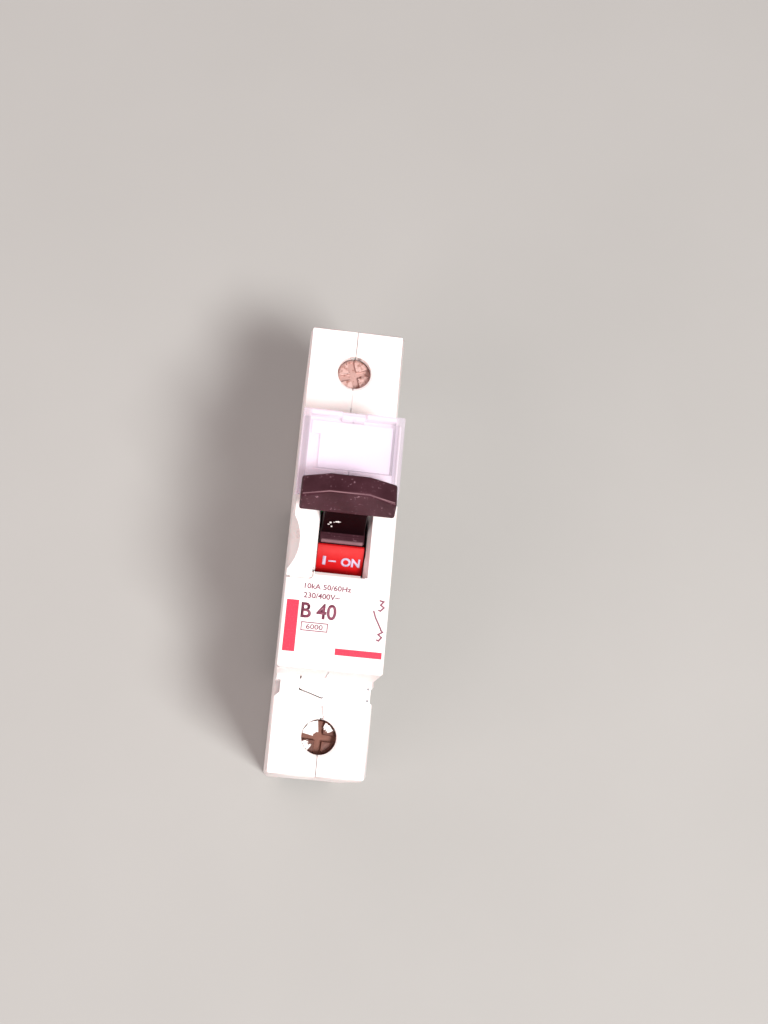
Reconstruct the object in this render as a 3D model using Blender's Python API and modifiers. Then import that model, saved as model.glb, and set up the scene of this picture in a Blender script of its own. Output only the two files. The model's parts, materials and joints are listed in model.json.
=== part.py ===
"""Single-pole miniature circuit breaker for a 35 mm DIN rail, one module wide.

The breaker lies on its back. +Z points out of its front face, +Y towards the line terminal and
+X to the right seen from the front. The origin is the centre of the DIN-rail seat.
Sizes are in millimetres; MM turns them into metres.
"""
import math

import bmesh
import bpy
from mathutils import Vector

MM = 0.001
GAP = 0.3               # air between neighbouring solids
OVER = 1.0              # how far a cutter runs past the face it opens

# Housing
HALF_WIDTH = 8.85       # one module is 17.7 wide
TOP_Y, BOTTOM_Y = 43.2, -40.0
NOSE_Y = 22.5           # the raised nose is 45 long
BACK_Z, FLOOR_Z, SHOULDER_Z, FACE_Z = -5.5, 1.4, 44.0, 60.0
WALL = 1.5
CAVITY_X = HALF_WIDTH - WALL
SEAM_X = GAP / 2
PLAN_CHAMFER = 0.8

# DIN rail: 35 wide with 1 mm flanges, its seat at z = 0
HOOK_ROOT_Y, HOOK_TIP_Y = 18.2, 16.2
FLANGE_SLOT = 1.5
PAD_EDGE_Y = -18.6
SEAT_LOW_Y, SEAT_TOP_Y, SEAT_RELIEF = -15.6, 16.1, 0.15
SEAT_TONGUE_X, SEAT_TONGUE_Y = 1.2, 3.0

# Terminals: the line terminal is the upper one
LINE_Y, LOAD_Y = 35.1, -32.8
WELL_RADIUS, THROAT_RADIUS, THROAT_Z = 3.6, 3.15, 42.0
MOUTH_CHAMFER = 0.6
HEAD_RADIUS, HEAD_LOW_Z, HEAD_TOP_Z = 3.3, 38.9, 41.6
LINE_SLOT_ANGLE, LOAD_SLOT_ANGLE = math.radians(18.0), math.radians(-3.0)
SHANK_RADIUS = 2.45
BUSBAR_LOW_Z, BUSBAR_TOP_Z = 24.0, 25.3
BUSBAR_X = 3.6
CAGE_X, CAGE_INNER_X, CAGE_HALF_Y = 5.2, 4.0, 3.8
CAGE_LOW_Z, CAGE_FLOOR_Z, CAGE_ROOF_Z, CAGE_TOP_Z = 14.0, 15.6, 25.7, 27.5
SHELF_LOW_Z, SHELF_TOP_Z = 37.3, 38.6
PARTITIONS_Y = ((28.0, 29.2), (-26.6, -25.4))

# Toggle: the bar leans towards the line terminal when on
HANDLE_Z = 51.0
HANDLE_LEAN = math.radians(22.5)
DRUM_X, DRUM_RADIUS, FLAG_RADIUS = 3.85, 7.0, 6.0
SECTOR_ANGLE, FLAG_END_ANGLE = math.radians(26.2), math.radians(82.0)
SLOT_X, SLOT_LOW_Y, SLOT_TOP_Y = 4.15, -6.1, 6.8
SLOT_CHAMFER = 0.6
SLOT_FLARE_X, SLOT_FLARE_Z = 0.7, 1.8   # sloped right-hand wall: width and depth
DRUM_ROOM_X, DRUM_ROOM_RADIUS = 4.3, 7.5
BAR_X, BAR_FLAT_X = 8.0, 3.3
BAR_LOW_Z, BAR_TOP_Z, BAR_END_DROP = 14.1, 19.5, 1.8
BAR_FOOT_Y, BAR_CREST_Y = 2.6, 1.85
PIN_RADIUS, PIN_HOLE = 1.0, 1.3
CRANK_RADIUS = 5.0      # link hole below the toggle's axis

# Contact arm and trip lever
ARM_Z = 33.0
TAIL_RADIUS, TAIL_SWING = 7.6, math.radians(10.0)
TRIP_Y, TRIP_Z = -9.0, 40.0
TRIP_PIN_RADIUS, TRIP_HOLE = 0.8, 1.1

# Solenoid, its axis along Y
COIL_Z, COIL_RADIUS, COIL_WIRE = 33.0, 5.0, 0.75
COIL_FIRST_Y, COIL_PITCH, COIL_TURNS = 12.6, 1.9, 6

# Label cover, hinged at its lower end
COVER_Y, COVER_Z, COVER_ROUND = 10.2, 57.8, 3.1
COVER_TOP_Y = 22.1
COVER_WALL = 1.1
RECESS_X = HALF_WIDTH - COVER_WALL - GAP
RIM_Z = 59.5
BED_X, BED_LOW_Y, BED_TOP_Y, BED_Z = 7.45, 12.0, 21.6, 57.4
TROUGH_TOP_Y, TROUGH_Z = 8.6, 55.6
HINGE_STEP_Y, HINGE_STEP_Z = 9.4, 58.9
NAIL_TAB_X, NAIL_TAB_Y = (-2.0, 1.9), 21.1
NAIL_SLOT_X, NAIL_SLOT_Y, NAIL_SLOT_Z = 2.35, 21.0, 58.4

# Marks in the shoulders
WINDOW_X, WINDOW_Y, WINDOW_Z = (-1.1, 0.9), (38.1, 39.3), (41.4, 43.1)
WEDGE_FOOT_X, WEDGE_TIP_X, WEDGE_LENGTH, WEDGE_DEPTH = 0.55, 0.1, 2.6, 1.4
NOTCH_DEPTH = 5.0
LEFT_NOTCH_X, LEFT_NOTCH_Y, LEFT_NOTCH_SLOPE = -7.75, (-25.6, -23.4), 1.0
RIGHT_NOTCH_X, RIGHT_NOTCH_Y = 8.35, (-26.2, -23.6)

RIVETS = ((38.5, 7.0), (20.0, 10.0), (17.0, 48.0), (-15.5, 53.0), (-35.4, 7.0))
RIVET_RADIUS, RIVET_HOLE, RIVET_HEAD = 1.15, 1.45, 2.1
RIVET_POCKET_RADIUS, RIVET_POCKET_DEPTH = 2.5, 0.9

ARC_PLATES = 9
ARC_PLATE_FIRST_Y, ARC_PLATE_PITCH, ARC_PLATE_THICK = -11.6, 2.2, 0.8

TURN = 2 * math.pi
PLANES = {                                  # rotation that lays a flat outline in a plane
    "YZ": (math.pi / 2, 0, math.pi / 2),
    "XY": (0, 0, 0),
}
AXES = {                                    # rotation that turns +Z to an axis
    "X": (0, math.pi / 2, 0),
    "Y": (-math.pi / 2, 0, 0),
    "Z": (0, 0, 0),
}


# --- scene and materials ---

def new_collection(name):
    group = bpy.data.collections.new(name)
    bpy.context.scene.collection.children.link(group)
    return group


for old in list(bpy.data.objects):
    bpy.data.objects.remove(old)
MODEL = new_collection("circuit_breaker")
TOOLS = new_collection("cutters")


def material(name, colour, roughness, metallic=0.0, alpha=1.0):
    made = bpy.data.materials.new(name)
    made.use_nodes = True
    shader = made.node_tree.nodes["Principled BSDF"]
    shader.inputs["Base Color"].default_value = (*colour, 1.0)
    shader.inputs["Roughness"].default_value = roughness
    shader.inputs["Metallic"].default_value = metallic
    shader.inputs["Alpha"].default_value = alpha
    made.diffuse_color = (*colour, alpha)
    return made


WHITE = material("white_plastic", (0.86, 0.83, 0.80), 0.4)
DARK = material("aubergine_plastic", (0.045, 0.022, 0.03), 0.4)
RED = material("red_plastic", (0.80, 0.03, 0.04), 0.45)
GREEN = material("green_plastic", (0.04, 0.40, 0.12), 0.45)
CLEAR = material("violet_clear_plastic", (0.80, 0.76, 0.92), 0.1, alpha=0.35)
CARD = material("label_card", (0.90, 0.88, 0.88), 0.7)
STEEL = material("zinc_plated_steel", (0.62, 0.62, 0.60), 0.35, 1.0)
SPRING = material("spring_steel", (0.50, 0.50, 0.52), 0.3, 1.0)
COPPER = material("copper", (0.80, 0.42, 0.28), 0.35, 1.0)
SILVER = material("silver_contact", (0.85, 0.85, 0.83), 0.3, 1.0)
BRONZE = material("nickel_bronze", (0.50, 0.38, 0.30), 0.45, 1.0)
BIMETAL = material("bimetal", (0.66, 0.58, 0.48), 0.4, 1.0)
FIBRE = material("fibre", (0.62, 0.50, 0.38), 0.8)
LEVER = material("lever_plastic", (0.30, 0.30, 0.32), 0.5)
NYLON = material("clip_plastic", (0.05, 0.05, 0.055), 0.5)


# --- building blocks ---

def new_object(name, data):
    made = bpy.data.objects.new(name, data)
    TOOLS.objects.link(made)
    made.hide_render = True
    made.display_type = "WIRE"
    return made


def keep(obj, name, finish):
    """Turn a working object into a named piece of the model."""
    TOOLS.objects.unlink(obj)
    MODEL.objects.link(obj)
    obj.hide_render = False
    obj.display_type = "TEXTURED"
    obj.name = name
    obj.data.name = name
    obj.data.materials.clear()
    obj.data.materials.append(finish)
    return obj


def axis_empty(name, location, lean=0.0, parent=None):
    """An empty on a joint's axis, which the moving pieces hang from."""
    empty = bpy.data.objects.new(name, None)
    MODEL.objects.link(empty)
    empty.location = Vector(location) * MM
    empty.rotation_euler.x = lean
    empty.parent = parent
    return empty


def mesh_object(name, bm):
    mesh = bpy.data.meshes.new(name)
    bm.to_mesh(mesh)
    bm.free()
    return new_object(name, mesh)


def box(corner, opposite):
    """A block between two opposite corners, in either order."""
    low = Vector([min(pair) for pair in zip(corner, opposite)])
    high = Vector([max(pair) for pair in zip(corner, opposite)])
    bm = bmesh.new()
    bmesh.ops.create_cube(bm, size=1.0)
    bmesh.ops.scale(bm, vec=(high - low) * MM, verts=bm.verts)
    made = mesh_object("box", bm)
    made.location = (low + high) / 2 * MM
    return made


def rod(axis, centre, radius, length, sides=24):
    """A round bar about its centre, along one axis."""
    bm = bmesh.new()
    bmesh.ops.create_cone(bm, cap_ends=True, segments=sides, radius1=radius * MM,
                          radius2=radius * MM, depth=length * MM)
    made = mesh_object("rod", bm)
    made.location = Vector(centre) * MM
    made.rotation_euler = AXES[axis]
    made.data.shade_smooth()
    made.data.set_sharp_from_angle(angle=math.radians(30))
    return made


def ball(centre, radius):
    bm = bmesh.new()
    bmesh.ops.create_uvsphere(bm, u_segments=48, v_segments=32, radius=radius * MM)
    made = mesh_object("ball", bm)
    made.location = Vector(centre) * MM
    return made


def turned(axis, centre, profile, sides=24):
    """A turned piece: (radius, height) points run down its outer side, then screwed round."""
    mesh = bpy.data.meshes.new("turned")
    points = [(radius * MM, 0, height * MM) for radius, height in profile]
    mesh.from_pydata(points, [(i, i + 1) for i in range(len(points) - 1)], [])
    made = new_object("turned", mesh)
    made.location = Vector(centre) * MM
    made.rotation_euler = AXES[axis]
    screw = made.modifiers.new("turn", "SCREW")
    screw.steps = sides
    screw.render_steps = sides
    screw.use_merge_vertices = True
    screw.merge_threshold = 0.00001
    return made


def plate(outline, low, high, plane="YZ"):
    """A flat outline given thickness between low and high along the plane's normal."""
    curve = bpy.data.curves.new("plate", "CURVE")
    curve.dimensions = "2D"
    curve.fill_mode = "BOTH"
    curve.extrude = (high - low) / 2 * MM
    spline = curve.splines.new("POLY")
    spline.points.add(len(outline) - 1)
    for point, (u, v) in zip(spline.points, outline):
        point.co = (u * MM, v * MM, 0, 1)
    spline.use_cyclic_u = True
    source = bpy.data.objects.new("plate", curve)
    TOOLS.objects.link(source)
    source.rotation_euler = PLANES[plane]
    middle = (low + high) / 2 * MM
    source.location = (middle, 0, 0) if plane == "YZ" else (0, 0, middle)
    bpy.context.view_layer.update()
    depsgraph = bpy.context.evaluated_depsgraph_get()
    mesh = bpy.data.meshes.new_from_object(source.evaluated_get(depsgraph))
    bm = bmesh.new()
    bm.from_mesh(mesh)
    bmesh.ops.remove_doubles(bm, verts=bm.verts, dist=0.000001)
    bmesh.ops.recalc_face_normals(bm, faces=bm.faces)
    bm.to_mesh(mesh)
    bm.free()
    made = new_object("plate", mesh)
    made.matrix_world = source.matrix_world
    bpy.data.objects.remove(source)
    return made


def wire(points, radius):
    """A round wire through points, with flat ends."""
    curve = bpy.data.curves.new("wire", "CURVE")
    curve.dimensions = "3D"
    curve.bevel_depth = radius * MM
    curve.bevel_resolution = 2
    curve.use_fill_caps = True
    curve.render_resolution_u = 0
    spline = curve.splines.new("POLY")
    spline.points.add(len(points) - 1)
    for point, place in zip(spline.points, points):
        point.co = (*(Vector(place) * MM), 1)
    return new_object("wire", curve)


def boolean(target, operation, tools):
    for tool in tools:
        step = target.modifiers.new(operation.lower(), "BOOLEAN")
        step.operation = operation
        step.object = tool
    return target


def cut(target, *tools):
    return boolean(target, "DIFFERENCE", tools)


def join(target, *tools):
    return boolean(target, "UNION", tools)


def hang(parent, *pieces):
    """Hang pieces on an empty, keeping them where they are in the parent's own axes."""
    for piece in pieces:
        piece.parent = parent


def hang_in_place(parent, *pieces):
    """Hang pieces on an empty without moving them in the world."""
    bpy.context.view_layer.update()
    for piece in pieces:
        piece.parent = parent
        piece.matrix_parent_inverse = parent.matrix_world.inverted()


def arc(centre, radius, start, end, steps=8):
    """Points of an arc; angles run from the first axis towards the second."""
    return [(centre[0] + radius * math.cos(start + (end - start) * i / steps),
             centre[1] + radius * math.sin(start + (end - start) * i / steps))
            for i in range(steps + 1)]


def span(side, near, far):
    """The x range between two distances from the seam on one side."""
    return sorted((side * near, side * far))


def helix(axis, start, radius, turns, pitch, steps=12):
    """Points of a coil along Y or X, starting on its -Z side."""
    points = []
    for i in range(round(turns * steps) + 1):
        angle = TURN * i / steps
        along = pitch * i / steps
        across, down = radius * math.sin(angle), -radius * math.cos(angle)
        if axis == "Y":
            points.append((start[0] + across, start[1] + along, start[2] + down))
        else:
            points.append((start[0] + along, start[1] + across, start[2] + down))
    return points


# --- housing ---

def housing_outline():
    """Side view: back with the DIN-rail hook, shoulders and nose."""
    return [
        (BOTTOM_Y, BACK_Z), (PAD_EDGE_Y, BACK_Z), (PAD_EDGE_Y, SEAT_RELIEF),
        (SEAT_LOW_Y, SEAT_RELIEF), (SEAT_LOW_Y, 0), (SEAT_TOP_Y, 0), (SEAT_TOP_Y, SEAT_RELIEF),
        (HOOK_ROOT_Y, SEAT_RELIEF),
        (HOOK_ROOT_Y, -FLANGE_SLOT), (HOOK_TIP_Y, -FLANGE_SLOT), (HOOK_TIP_Y, -3.0),
        (HOOK_TIP_Y + 2.5, BACK_Z), (TOP_Y, BACK_Z), (TOP_Y, SHOULDER_Z), (NOSE_Y, SHOULDER_Z),
        (NOSE_Y, FACE_Z), (-NOSE_Y, FACE_Z), (-NOSE_Y, SHOULDER_Z), (BOTTOM_Y, SHOULDER_Z),
    ]


def cavity_outline():
    """Side view of the hollow, with pockets beside the toggle's thick bearing blocks."""
    roof_z = SHOULDER_Z - WALL
    low_y, high_y, nose_y = BOTTOM_Y + WALL, TOP_Y - WALL, NOSE_Y - WALL
    bearing_y, bearing_z = 9.0, 46.8
    cover_floor_z, face_back_z = 53.0, FACE_Z - WALL
    return [
        (low_y, FLOOR_Z), (high_y, FLOOR_Z), (high_y, roof_z), (nose_y, roof_z),
        (nose_y, cover_floor_z), (bearing_y, cover_floor_z), (bearing_y, bearing_z),
        (-bearing_y, bearing_z), (-bearing_y, face_back_z), (-nose_y, face_back_z),
        (-nose_y, roof_z), (low_y, roof_z),
    ]


def rating_panel_outline(grow):
    """Plan view of the nose panel below the slot, which belongs to the right half."""
    left, right, slot_left = -HALF_WIDTH - 2 * grow, 1.0, -4.3 - grow
    low_y, step_y, high_y = -NOSE_Y - 3 * grow, -7.5 + grow, SLOT_LOW_Y + 2 * grow
    fillet = 0.7 - grow
    corner = arc((slot_left - fillet, step_y + fillet), fillet, 0, -math.pi / 2, 5)
    return ([(left, low_y), (right, low_y), (right, high_y), (slot_left, high_y)]
            + corner + [(left, step_y)])


def seam_jog_outline(grow):
    """Plan view of the tongue below the nose, where the seam steps to the left."""
    return [(-4.1 - grow, -NOSE_Y + 1.0), (-4.1 - grow, -24.6 - grow), (-0.3, -25.8 - grow),
            (1.0, -25.8 - grow), (1.0, -NOSE_Y + 1.0)]


def seat_tongue(grow):
    """Tongue of the right half that carries the middle of the rail seat across the seam."""
    return box((-SEAT_TONGUE_X - grow, -SEAT_TONGUE_Y - grow, -2 * grow),
               (1.0, SEAT_TONGUE_Y + grow, FLOOR_Z + 2 * grow))


def slot_lip():
    """Chamfer along the lower edge of the toggle's slot."""
    low_y, low_z = SLOT_LOW_Y - SLOT_CHAMFER, FACE_Z - SLOT_CHAMFER
    high_y, high_z = SLOT_LOW_Y + 0.5, FACE_Z + OVER
    return plate([(low_y, FACE_Z), (SLOT_LOW_Y, low_z), (high_y, low_z), (high_y, high_z),
                  (low_y, high_z)], -SLOT_X, SLOT_X)


def well(y):
    """Room for a captive screw head, its shank, its narrower throat and the chamfered mouth."""
    mouth_top, mouth_z = SHOULDER_Z + OVER, SHOULDER_Z - MOUTH_CHAMFER
    mouth_radius = THROAT_RADIUS + mouth_top - mouth_z
    shank_room, shank_z = SHANK_RADIUS + GAP, SHELF_LOW_Z - OVER
    return turned("Z", (0, y, 0), [
        (0, mouth_top), (mouth_radius, mouth_top), (THROAT_RADIUS, mouth_z),
        (THROAT_RADIUS, THROAT_Z), (WELL_RADIUS, THROAT_Z), (WELL_RADIUS, SHELF_TOP_Z),
        (shank_room, SHELF_TOP_Z), (shank_room, shank_z), (0, shank_z)], 32)


def slot_flare():
    """Sloped right-hand wall of the toggle's slot."""
    low_z, high_z = FACE_Z - SLOT_FLARE_Z, FACE_Z + OVER
    front = [(SLOT_X - 0.5, low_z), (SLOT_X, low_z), (SLOT_X + SLOT_FLARE_X, FACE_Z),
             (SLOT_X + SLOT_FLARE_X, high_z), (SLOT_X - 0.5, high_z)]
    flare = plate(front, -SLOT_TOP_Y, -SLOT_LOW_Y, "XY")
    flare.rotation_euler = (math.pi / 2, 0, 0)
    return flare


def shoulder_notches(side):
    """Window in the upper well, wedge above the lower one, and a notch in each lower edge."""
    top_z = SHOULDER_Z + OVER
    window = box(*zip(WINDOW_X, WINDOW_Y, WINDOW_Z))
    foot_y = LOAD_Y + THROAT_RADIUS - 0.4
    tip_y = foot_y + 0.4 + WEDGE_LENGTH
    wedge = plate([(-WEDGE_FOOT_X, foot_y), (WEDGE_FOOT_X, foot_y), (WEDGE_TIP_X, tip_y),
                   (-WEDGE_TIP_X, tip_y)], SHOULDER_Z - WEDGE_DEPTH, top_z, "XY")
    if side < 0:
        outer_x, (low_y, high_y) = -HALF_WIDTH - 1.15, LEFT_NOTCH_Y
        slope_y = low_y - LEFT_NOTCH_SLOPE
        notch = plate([(outer_x, slope_y - 0.3), (-HALF_WIDTH, slope_y), (LEFT_NOTCH_X, low_y),
                       (LEFT_NOTCH_X, high_y), (outer_x, high_y)],
                      SHOULDER_Z - NOTCH_DEPTH, top_z, "XY")
    else:
        low_y, high_y = RIGHT_NOTCH_Y
        notch = box((RIGHT_NOTCH_X, low_y, SHOULDER_Z - NOTCH_DEPTH),
                    (HALF_WIDTH + 1.15, high_y, top_z))
    return [window, wedge, notch]


def inner_walls(side):
    """Ribs and bosses inside one half, which hold what the breaker needs to work."""
    low_x, wall_x = span(side, SEAM_X, CAVITY_X + 0.5)
    walls = []
    for low_y, high_y in PARTITIONS_Y:
        walls.append(box((low_x, low_y, 1.0), (wall_x, high_y, SHOULDER_Z - 1.0)))
    for y, outer_y in ((LINE_Y, TOP_Y - 1.0), (LOAD_Y, BOTTOM_Y + 1.0)):
        inner_y = 28.6 if y > 0 else -26.0
        low_y, high_y = sorted((inner_y, outer_y))
        walls.append(box((low_x, low_y, SHELF_LOW_Z), (wall_x, high_y, SHELF_TOP_Z)))
        guide_x = span(side, CAGE_X + 0.4, CAVITY_X + 0.5)
        walls.append(box((guide_x[0], y - 0.7, 12.0), (guide_x[1], y + 0.7, SHELF_LOW_Z + 0.5)))
        tube = rod("Z", (0, y, 41.0), WELL_RADIUS + 1.2, 5.2, 32)
        walls.append(cut(tube, box((-side * 9, y - 9, 30), (side * SEAM_X, y + 9, 50))))
    walls.append(box((low_x, 9.8, 1.0), (wall_x, 10.8, 20.2)))
    for y, z in RIVETS:
        middle = side * (SEAM_X + CAVITY_X + 0.5) / 2
        walls.append(rod("X", (middle, y, z), 2.5, CAVITY_X + 0.5 - SEAM_X, 16))
    for y, z, reach in ((0, ARM_Z, 5.0), (TRIP_Y, TRIP_Z, 6.0)):
        middle = side * (reach + CAVITY_X + 0.5) / 2
        walls.append(rod("X", (middle, y, z), 2.1, CAVITY_X + 0.5 - reach, 16))
    return walls


def housing_cuts(side):
    """Openings through one half."""
    cuts = [
        rod("X", (0, 0, HANDLE_Z), DRUM_ROOM_RADIUS, 2 * DRUM_ROOM_X, 48),
        box((-SLOT_X, SLOT_LOW_Y, HANDLE_Z), (SLOT_X, SLOT_TOP_Y + OVER, FACE_Z + OVER)),
        rod("X", (0, 0, HANDLE_Z), PIN_HOLE, 14.0, 16),
        rod("X", (0, 0, ARM_Z), PIN_HOLE, 14.6, 16),
        rod("X", (0, TRIP_Y, TRIP_Z), TRIP_HOLE, 14.6, 16),
    ]
    for y, end_y in ((LINE_Y, TOP_Y), (LOAD_Y, BOTTOM_Y)):
        outward = math.copysign(1, end_y)
        cuts.append(well(y))
        low_y, high_y = sorted((end_y + outward * OVER, end_y - outward * 2.2))
        cuts.append(box((-4.2, low_y, 14.8), (4.2, high_y, 24.4)))
    for low_y, high_y in PARTITIONS_Y:
        cuts.append(box((-BUSBAR_X - GAP, low_y - OVER, BUSBAR_LOW_Z - GAP),
                        (BUSBAR_X + GAP, high_y + OVER, BUSBAR_TOP_Z + GAP)))
    for low_z in (4.2, 6.6, 9.0):
        cuts.append(box((-5.5, BOTTOM_Y - OVER, low_z), (5.5, BOTTOM_Y + 2.2, low_z + 1.1)))
    cuts.append(box((-5.2, BOTTOM_Y - OVER, BACK_Z - OVER), (5.2, PAD_EDGE_Y + OVER, -1.0)))
    cuts.append(box((-6.4, BOTTOM_Y - OVER, -3.6), (6.4, PAD_EDGE_Y + OVER, -2.4)))
    return (cuts + cover_recess(side) + rivet_holes(side) + plan_chamfers(side)
            + shoulder_notches(side))


def cover_recess(side):
    """Room for the label cover: side steps, the card's bed and the hinge trough."""
    cheek_x = span(side, RECESS_X, HALF_WIDTH + OVER)
    low_y = COVER_Y - COVER_ROUND - GAP
    tab_left, tab_right = NAIL_TAB_X
    return [
        box((cheek_x[0], low_y, COVER_Z - COVER_ROUND - GAP),
            (cheek_x[1], NOSE_Y + OVER, FACE_Z + OVER)),
        box((-HALF_WIDTH - OVER, low_y, RIM_Z), (HALF_WIDTH + OVER, NOSE_Y + OVER, FACE_Z + OVER)),
        box((-BED_X, low_y, TROUGH_Z), (BED_X, TROUGH_TOP_Y, FACE_Z)),
        box((-BED_X, low_y, HINGE_STEP_Z), (BED_X, HINGE_STEP_Y, FACE_Z)),
        box((-BED_X, BED_LOW_Y, BED_Z), (tab_left, BED_TOP_Y, FACE_Z)),
        box((tab_left - OVER, BED_LOW_Y, BED_Z), (tab_right + OVER, NAIL_TAB_Y, FACE_Z)),
        box((tab_right, BED_LOW_Y, BED_Z), (BED_X, BED_TOP_Y, FACE_Z)),
        box((tab_right, NAIL_SLOT_Y, NAIL_SLOT_Z), (NAIL_SLOT_X, NOSE_Y + OVER, FACE_Z)),
        rod("X", (side * BED_X, COVER_Y, COVER_Z), 1.1, 2.0, 16),
    ]


def rivet_holes(side):
    holes = []
    for y, z in RIVETS:
        holes.append(rod("X", (0, y, z), RIVET_HOLE, 20.0, 16))
        pocket_x = side * (HALF_WIDTH - RIVET_POCKET_DEPTH + 1.0)
        holes.append(rod("X", (pocket_x, y, z), RIVET_POCKET_RADIUS, 2.0))
    return holes


def plan_chamfers(side):
    """Small flats on the outer corners, seen from the front."""
    cuts = []
    for y in (TOP_Y, BOTTOM_Y):
        edge = box((-5, -5, BACK_Z - OVER), (5, 5, FACE_Z + OVER))
        edge.rotation_euler.z = math.pi / 4
        reach = 5 * math.sqrt(0.5) - PLAN_CHAMFER / 2
        edge.location.x = side * (HALF_WIDTH + reach) * MM
        edge.location.y = (y + math.copysign(reach, y)) * MM
        cuts.append(edge)
    return cuts


def housing_half(side, name):
    half = plate(housing_outline(), *span(side, SEAM_X, HALF_WIDTH))
    cut(half, plate(cavity_outline(), *span(side, -0.5, CAVITY_X)))
    join(half, *inner_walls(side))
    cut(half, *housing_cuts(side))
    join(half, box((side * SEAM_X, -33.2, -3.6), (side * 1.3, -32.2, 0.0)))
    panel_z, jog_z = FACE_Z - 3.0, SHOULDER_Z - 2.0
    if side > 0:
        join(half, plate(rating_panel_outline(0), panel_z, FACE_Z, "XY"),
             plate(seam_jog_outline(0), jog_z, SHOULDER_Z, "XY"),
             seat_tongue(0), rod("X", (3.9, -13.2, 25.5), 1.2, 7.5, 16))
    else:
        scallop_radius, scallop_depth = 9.18, 2.6
        scallop_x = -HALF_WIDTH + scallop_depth - scallop_radius
        cut(half, plate(rating_panel_outline(GAP), panel_z - GAP, FACE_Z + OVER, "XY"),
            plate(seam_jog_outline(GAP), jog_z - GAP, SHOULDER_Z + OVER, "XY"),
            seat_tongue(GAP), ball((scallop_x, -1.2, 56.0), scallop_radius))
        join(half, rod("X", (-7.0, 0.6, 56.4), 0.6, 1.6, 16))
    cut(half, slot_lip(), slot_flare())
    return keep(half, name, WHITE)


def rivets():
    """Hollow-headed rivets that close the two halves."""
    seat = HALF_WIDTH - RIVET_POCKET_DEPTH + GAP
    top = seat + 0.5
    profile = [(0, top), (RIVET_HEAD, top), (RIVET_HEAD, seat), (RIVET_RADIUS, seat),
               (RIVET_RADIUS, -seat), (RIVET_HEAD, -seat), (RIVET_HEAD, -top), (0, -top)]
    for number, (y, z) in enumerate(RIVETS, 1):
        keep(turned("X", (0, y, z), profile, 16), f"rivet_{number}", STEEL)


# --- toggle ---

def toggle(empty):
    """Toggle in its own axes: z runs up the neck, and x along the pivot."""
    right, left = math.pi / 2 - SECTOR_ANGLE, math.pi / 2 + SECTOR_ANGLE
    wing = FLAG_END_ANGLE - SECTOR_ANGLE
    outline = (arc((0, 0), FLAG_RADIUS, right - wing, right)
               + arc((0, 0), DRUM_RADIUS, right, left, 10)
               + arc((0, 0), FLAG_RADIUS, left, left + wing))
    drum = plate(outline, -DRUM_X, DRUM_X)
    bar_front = [(-BAR_X, BAR_LOW_Z), (BAR_X, BAR_LOW_Z), (BAR_X, BAR_TOP_Z - BAR_END_DROP),
                 (BAR_FLAT_X, BAR_TOP_Z), (-BAR_FLAT_X, BAR_TOP_Z),
                 (-BAR_X, BAR_TOP_Z - BAR_END_DROP)]
    bar_side = [(-BAR_FOOT_Y, BAR_LOW_Z - 1), (BAR_FOOT_Y, BAR_LOW_Z - 1),
                (BAR_CREST_Y, BAR_TOP_Z + 0.5), (-BAR_CREST_Y, BAR_TOP_Z + 0.5)]
    bar = plate(bar_front, -4, 4, "XY")
    bar.rotation_euler = (math.pi / 2, 0, 0)
    side = plate(bar_side, -BAR_X - 1, BAR_X + 1)
    shaped = boolean(bar, "INTERSECT", [side])
    hub = rod("X", (0, 0, 0), 3.4, 2 * DRUM_X - 0.02, 32)
    neck = box((-3.7, -1.6, 2.0), (3.7, 1.6, BAR_LOW_Z + 0.8))
    crank = box((-1.4, -1.6, -6.5), (1.4, 1.6, -2.0))
    bore = rod("X", (0, 0, 0), PIN_HOLE, 12.0, 16)
    spring_room = rod("X", (3.2, 0, 0), 2.9, 3.0)
    link_hole = rod("X", (0, 0, -CRANK_RADIUS), 0.95, 6.0, 16)
    join(drum, hub, neck, shaped, crank)
    cut(drum, bore, spring_room, link_hole)
    hang(empty, drum, bar, side, hub, neck, crank, bore, spring_room, link_hole)
    keep(drum, "handle", DARK)


def flag(empty, name, direction, finish):
    """Curved indicator plate on one side of the toggle's black sector."""
    inner, outer = FLAG_RADIUS + GAP, FLAG_RADIUS + 0.9
    near = math.pi / 2 + direction * (SECTOR_ANGLE + 0.045)
    far = math.pi / 2 + direction * FLAG_END_ANGLE
    outline = arc((0, 0), outer, near, far) + arc((0, 0), inner, far, near)
    piece = plate(outline, -3.7, 3.7)
    hang(empty, piece)
    keep(piece, name, finish)


def toggle_group():
    empty = axis_empty("handle_axis", (0, 0, HANDLE_Z), -HANDLE_LEAN)
    toggle(empty)
    flag(empty, "on_flag", 1, RED)
    flag(empty, "off_flag", -1, GREEN)
    spring = helix("X", (1.95, 0, 0), 2.2, 3, 0.6)
    coil = wire([(1.95, 1.1, -2.3)] + spring + [(3.75, -1.1, -2.3)], 0.2)
    hang(empty, coil)
    keep(coil, "handle_spring", SPRING)
    keep(rod("X", (0, 0, HANDLE_Z), PIN_RADIUS, 13.4, 16), "handle_pin", STEEL)
    return empty


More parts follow.
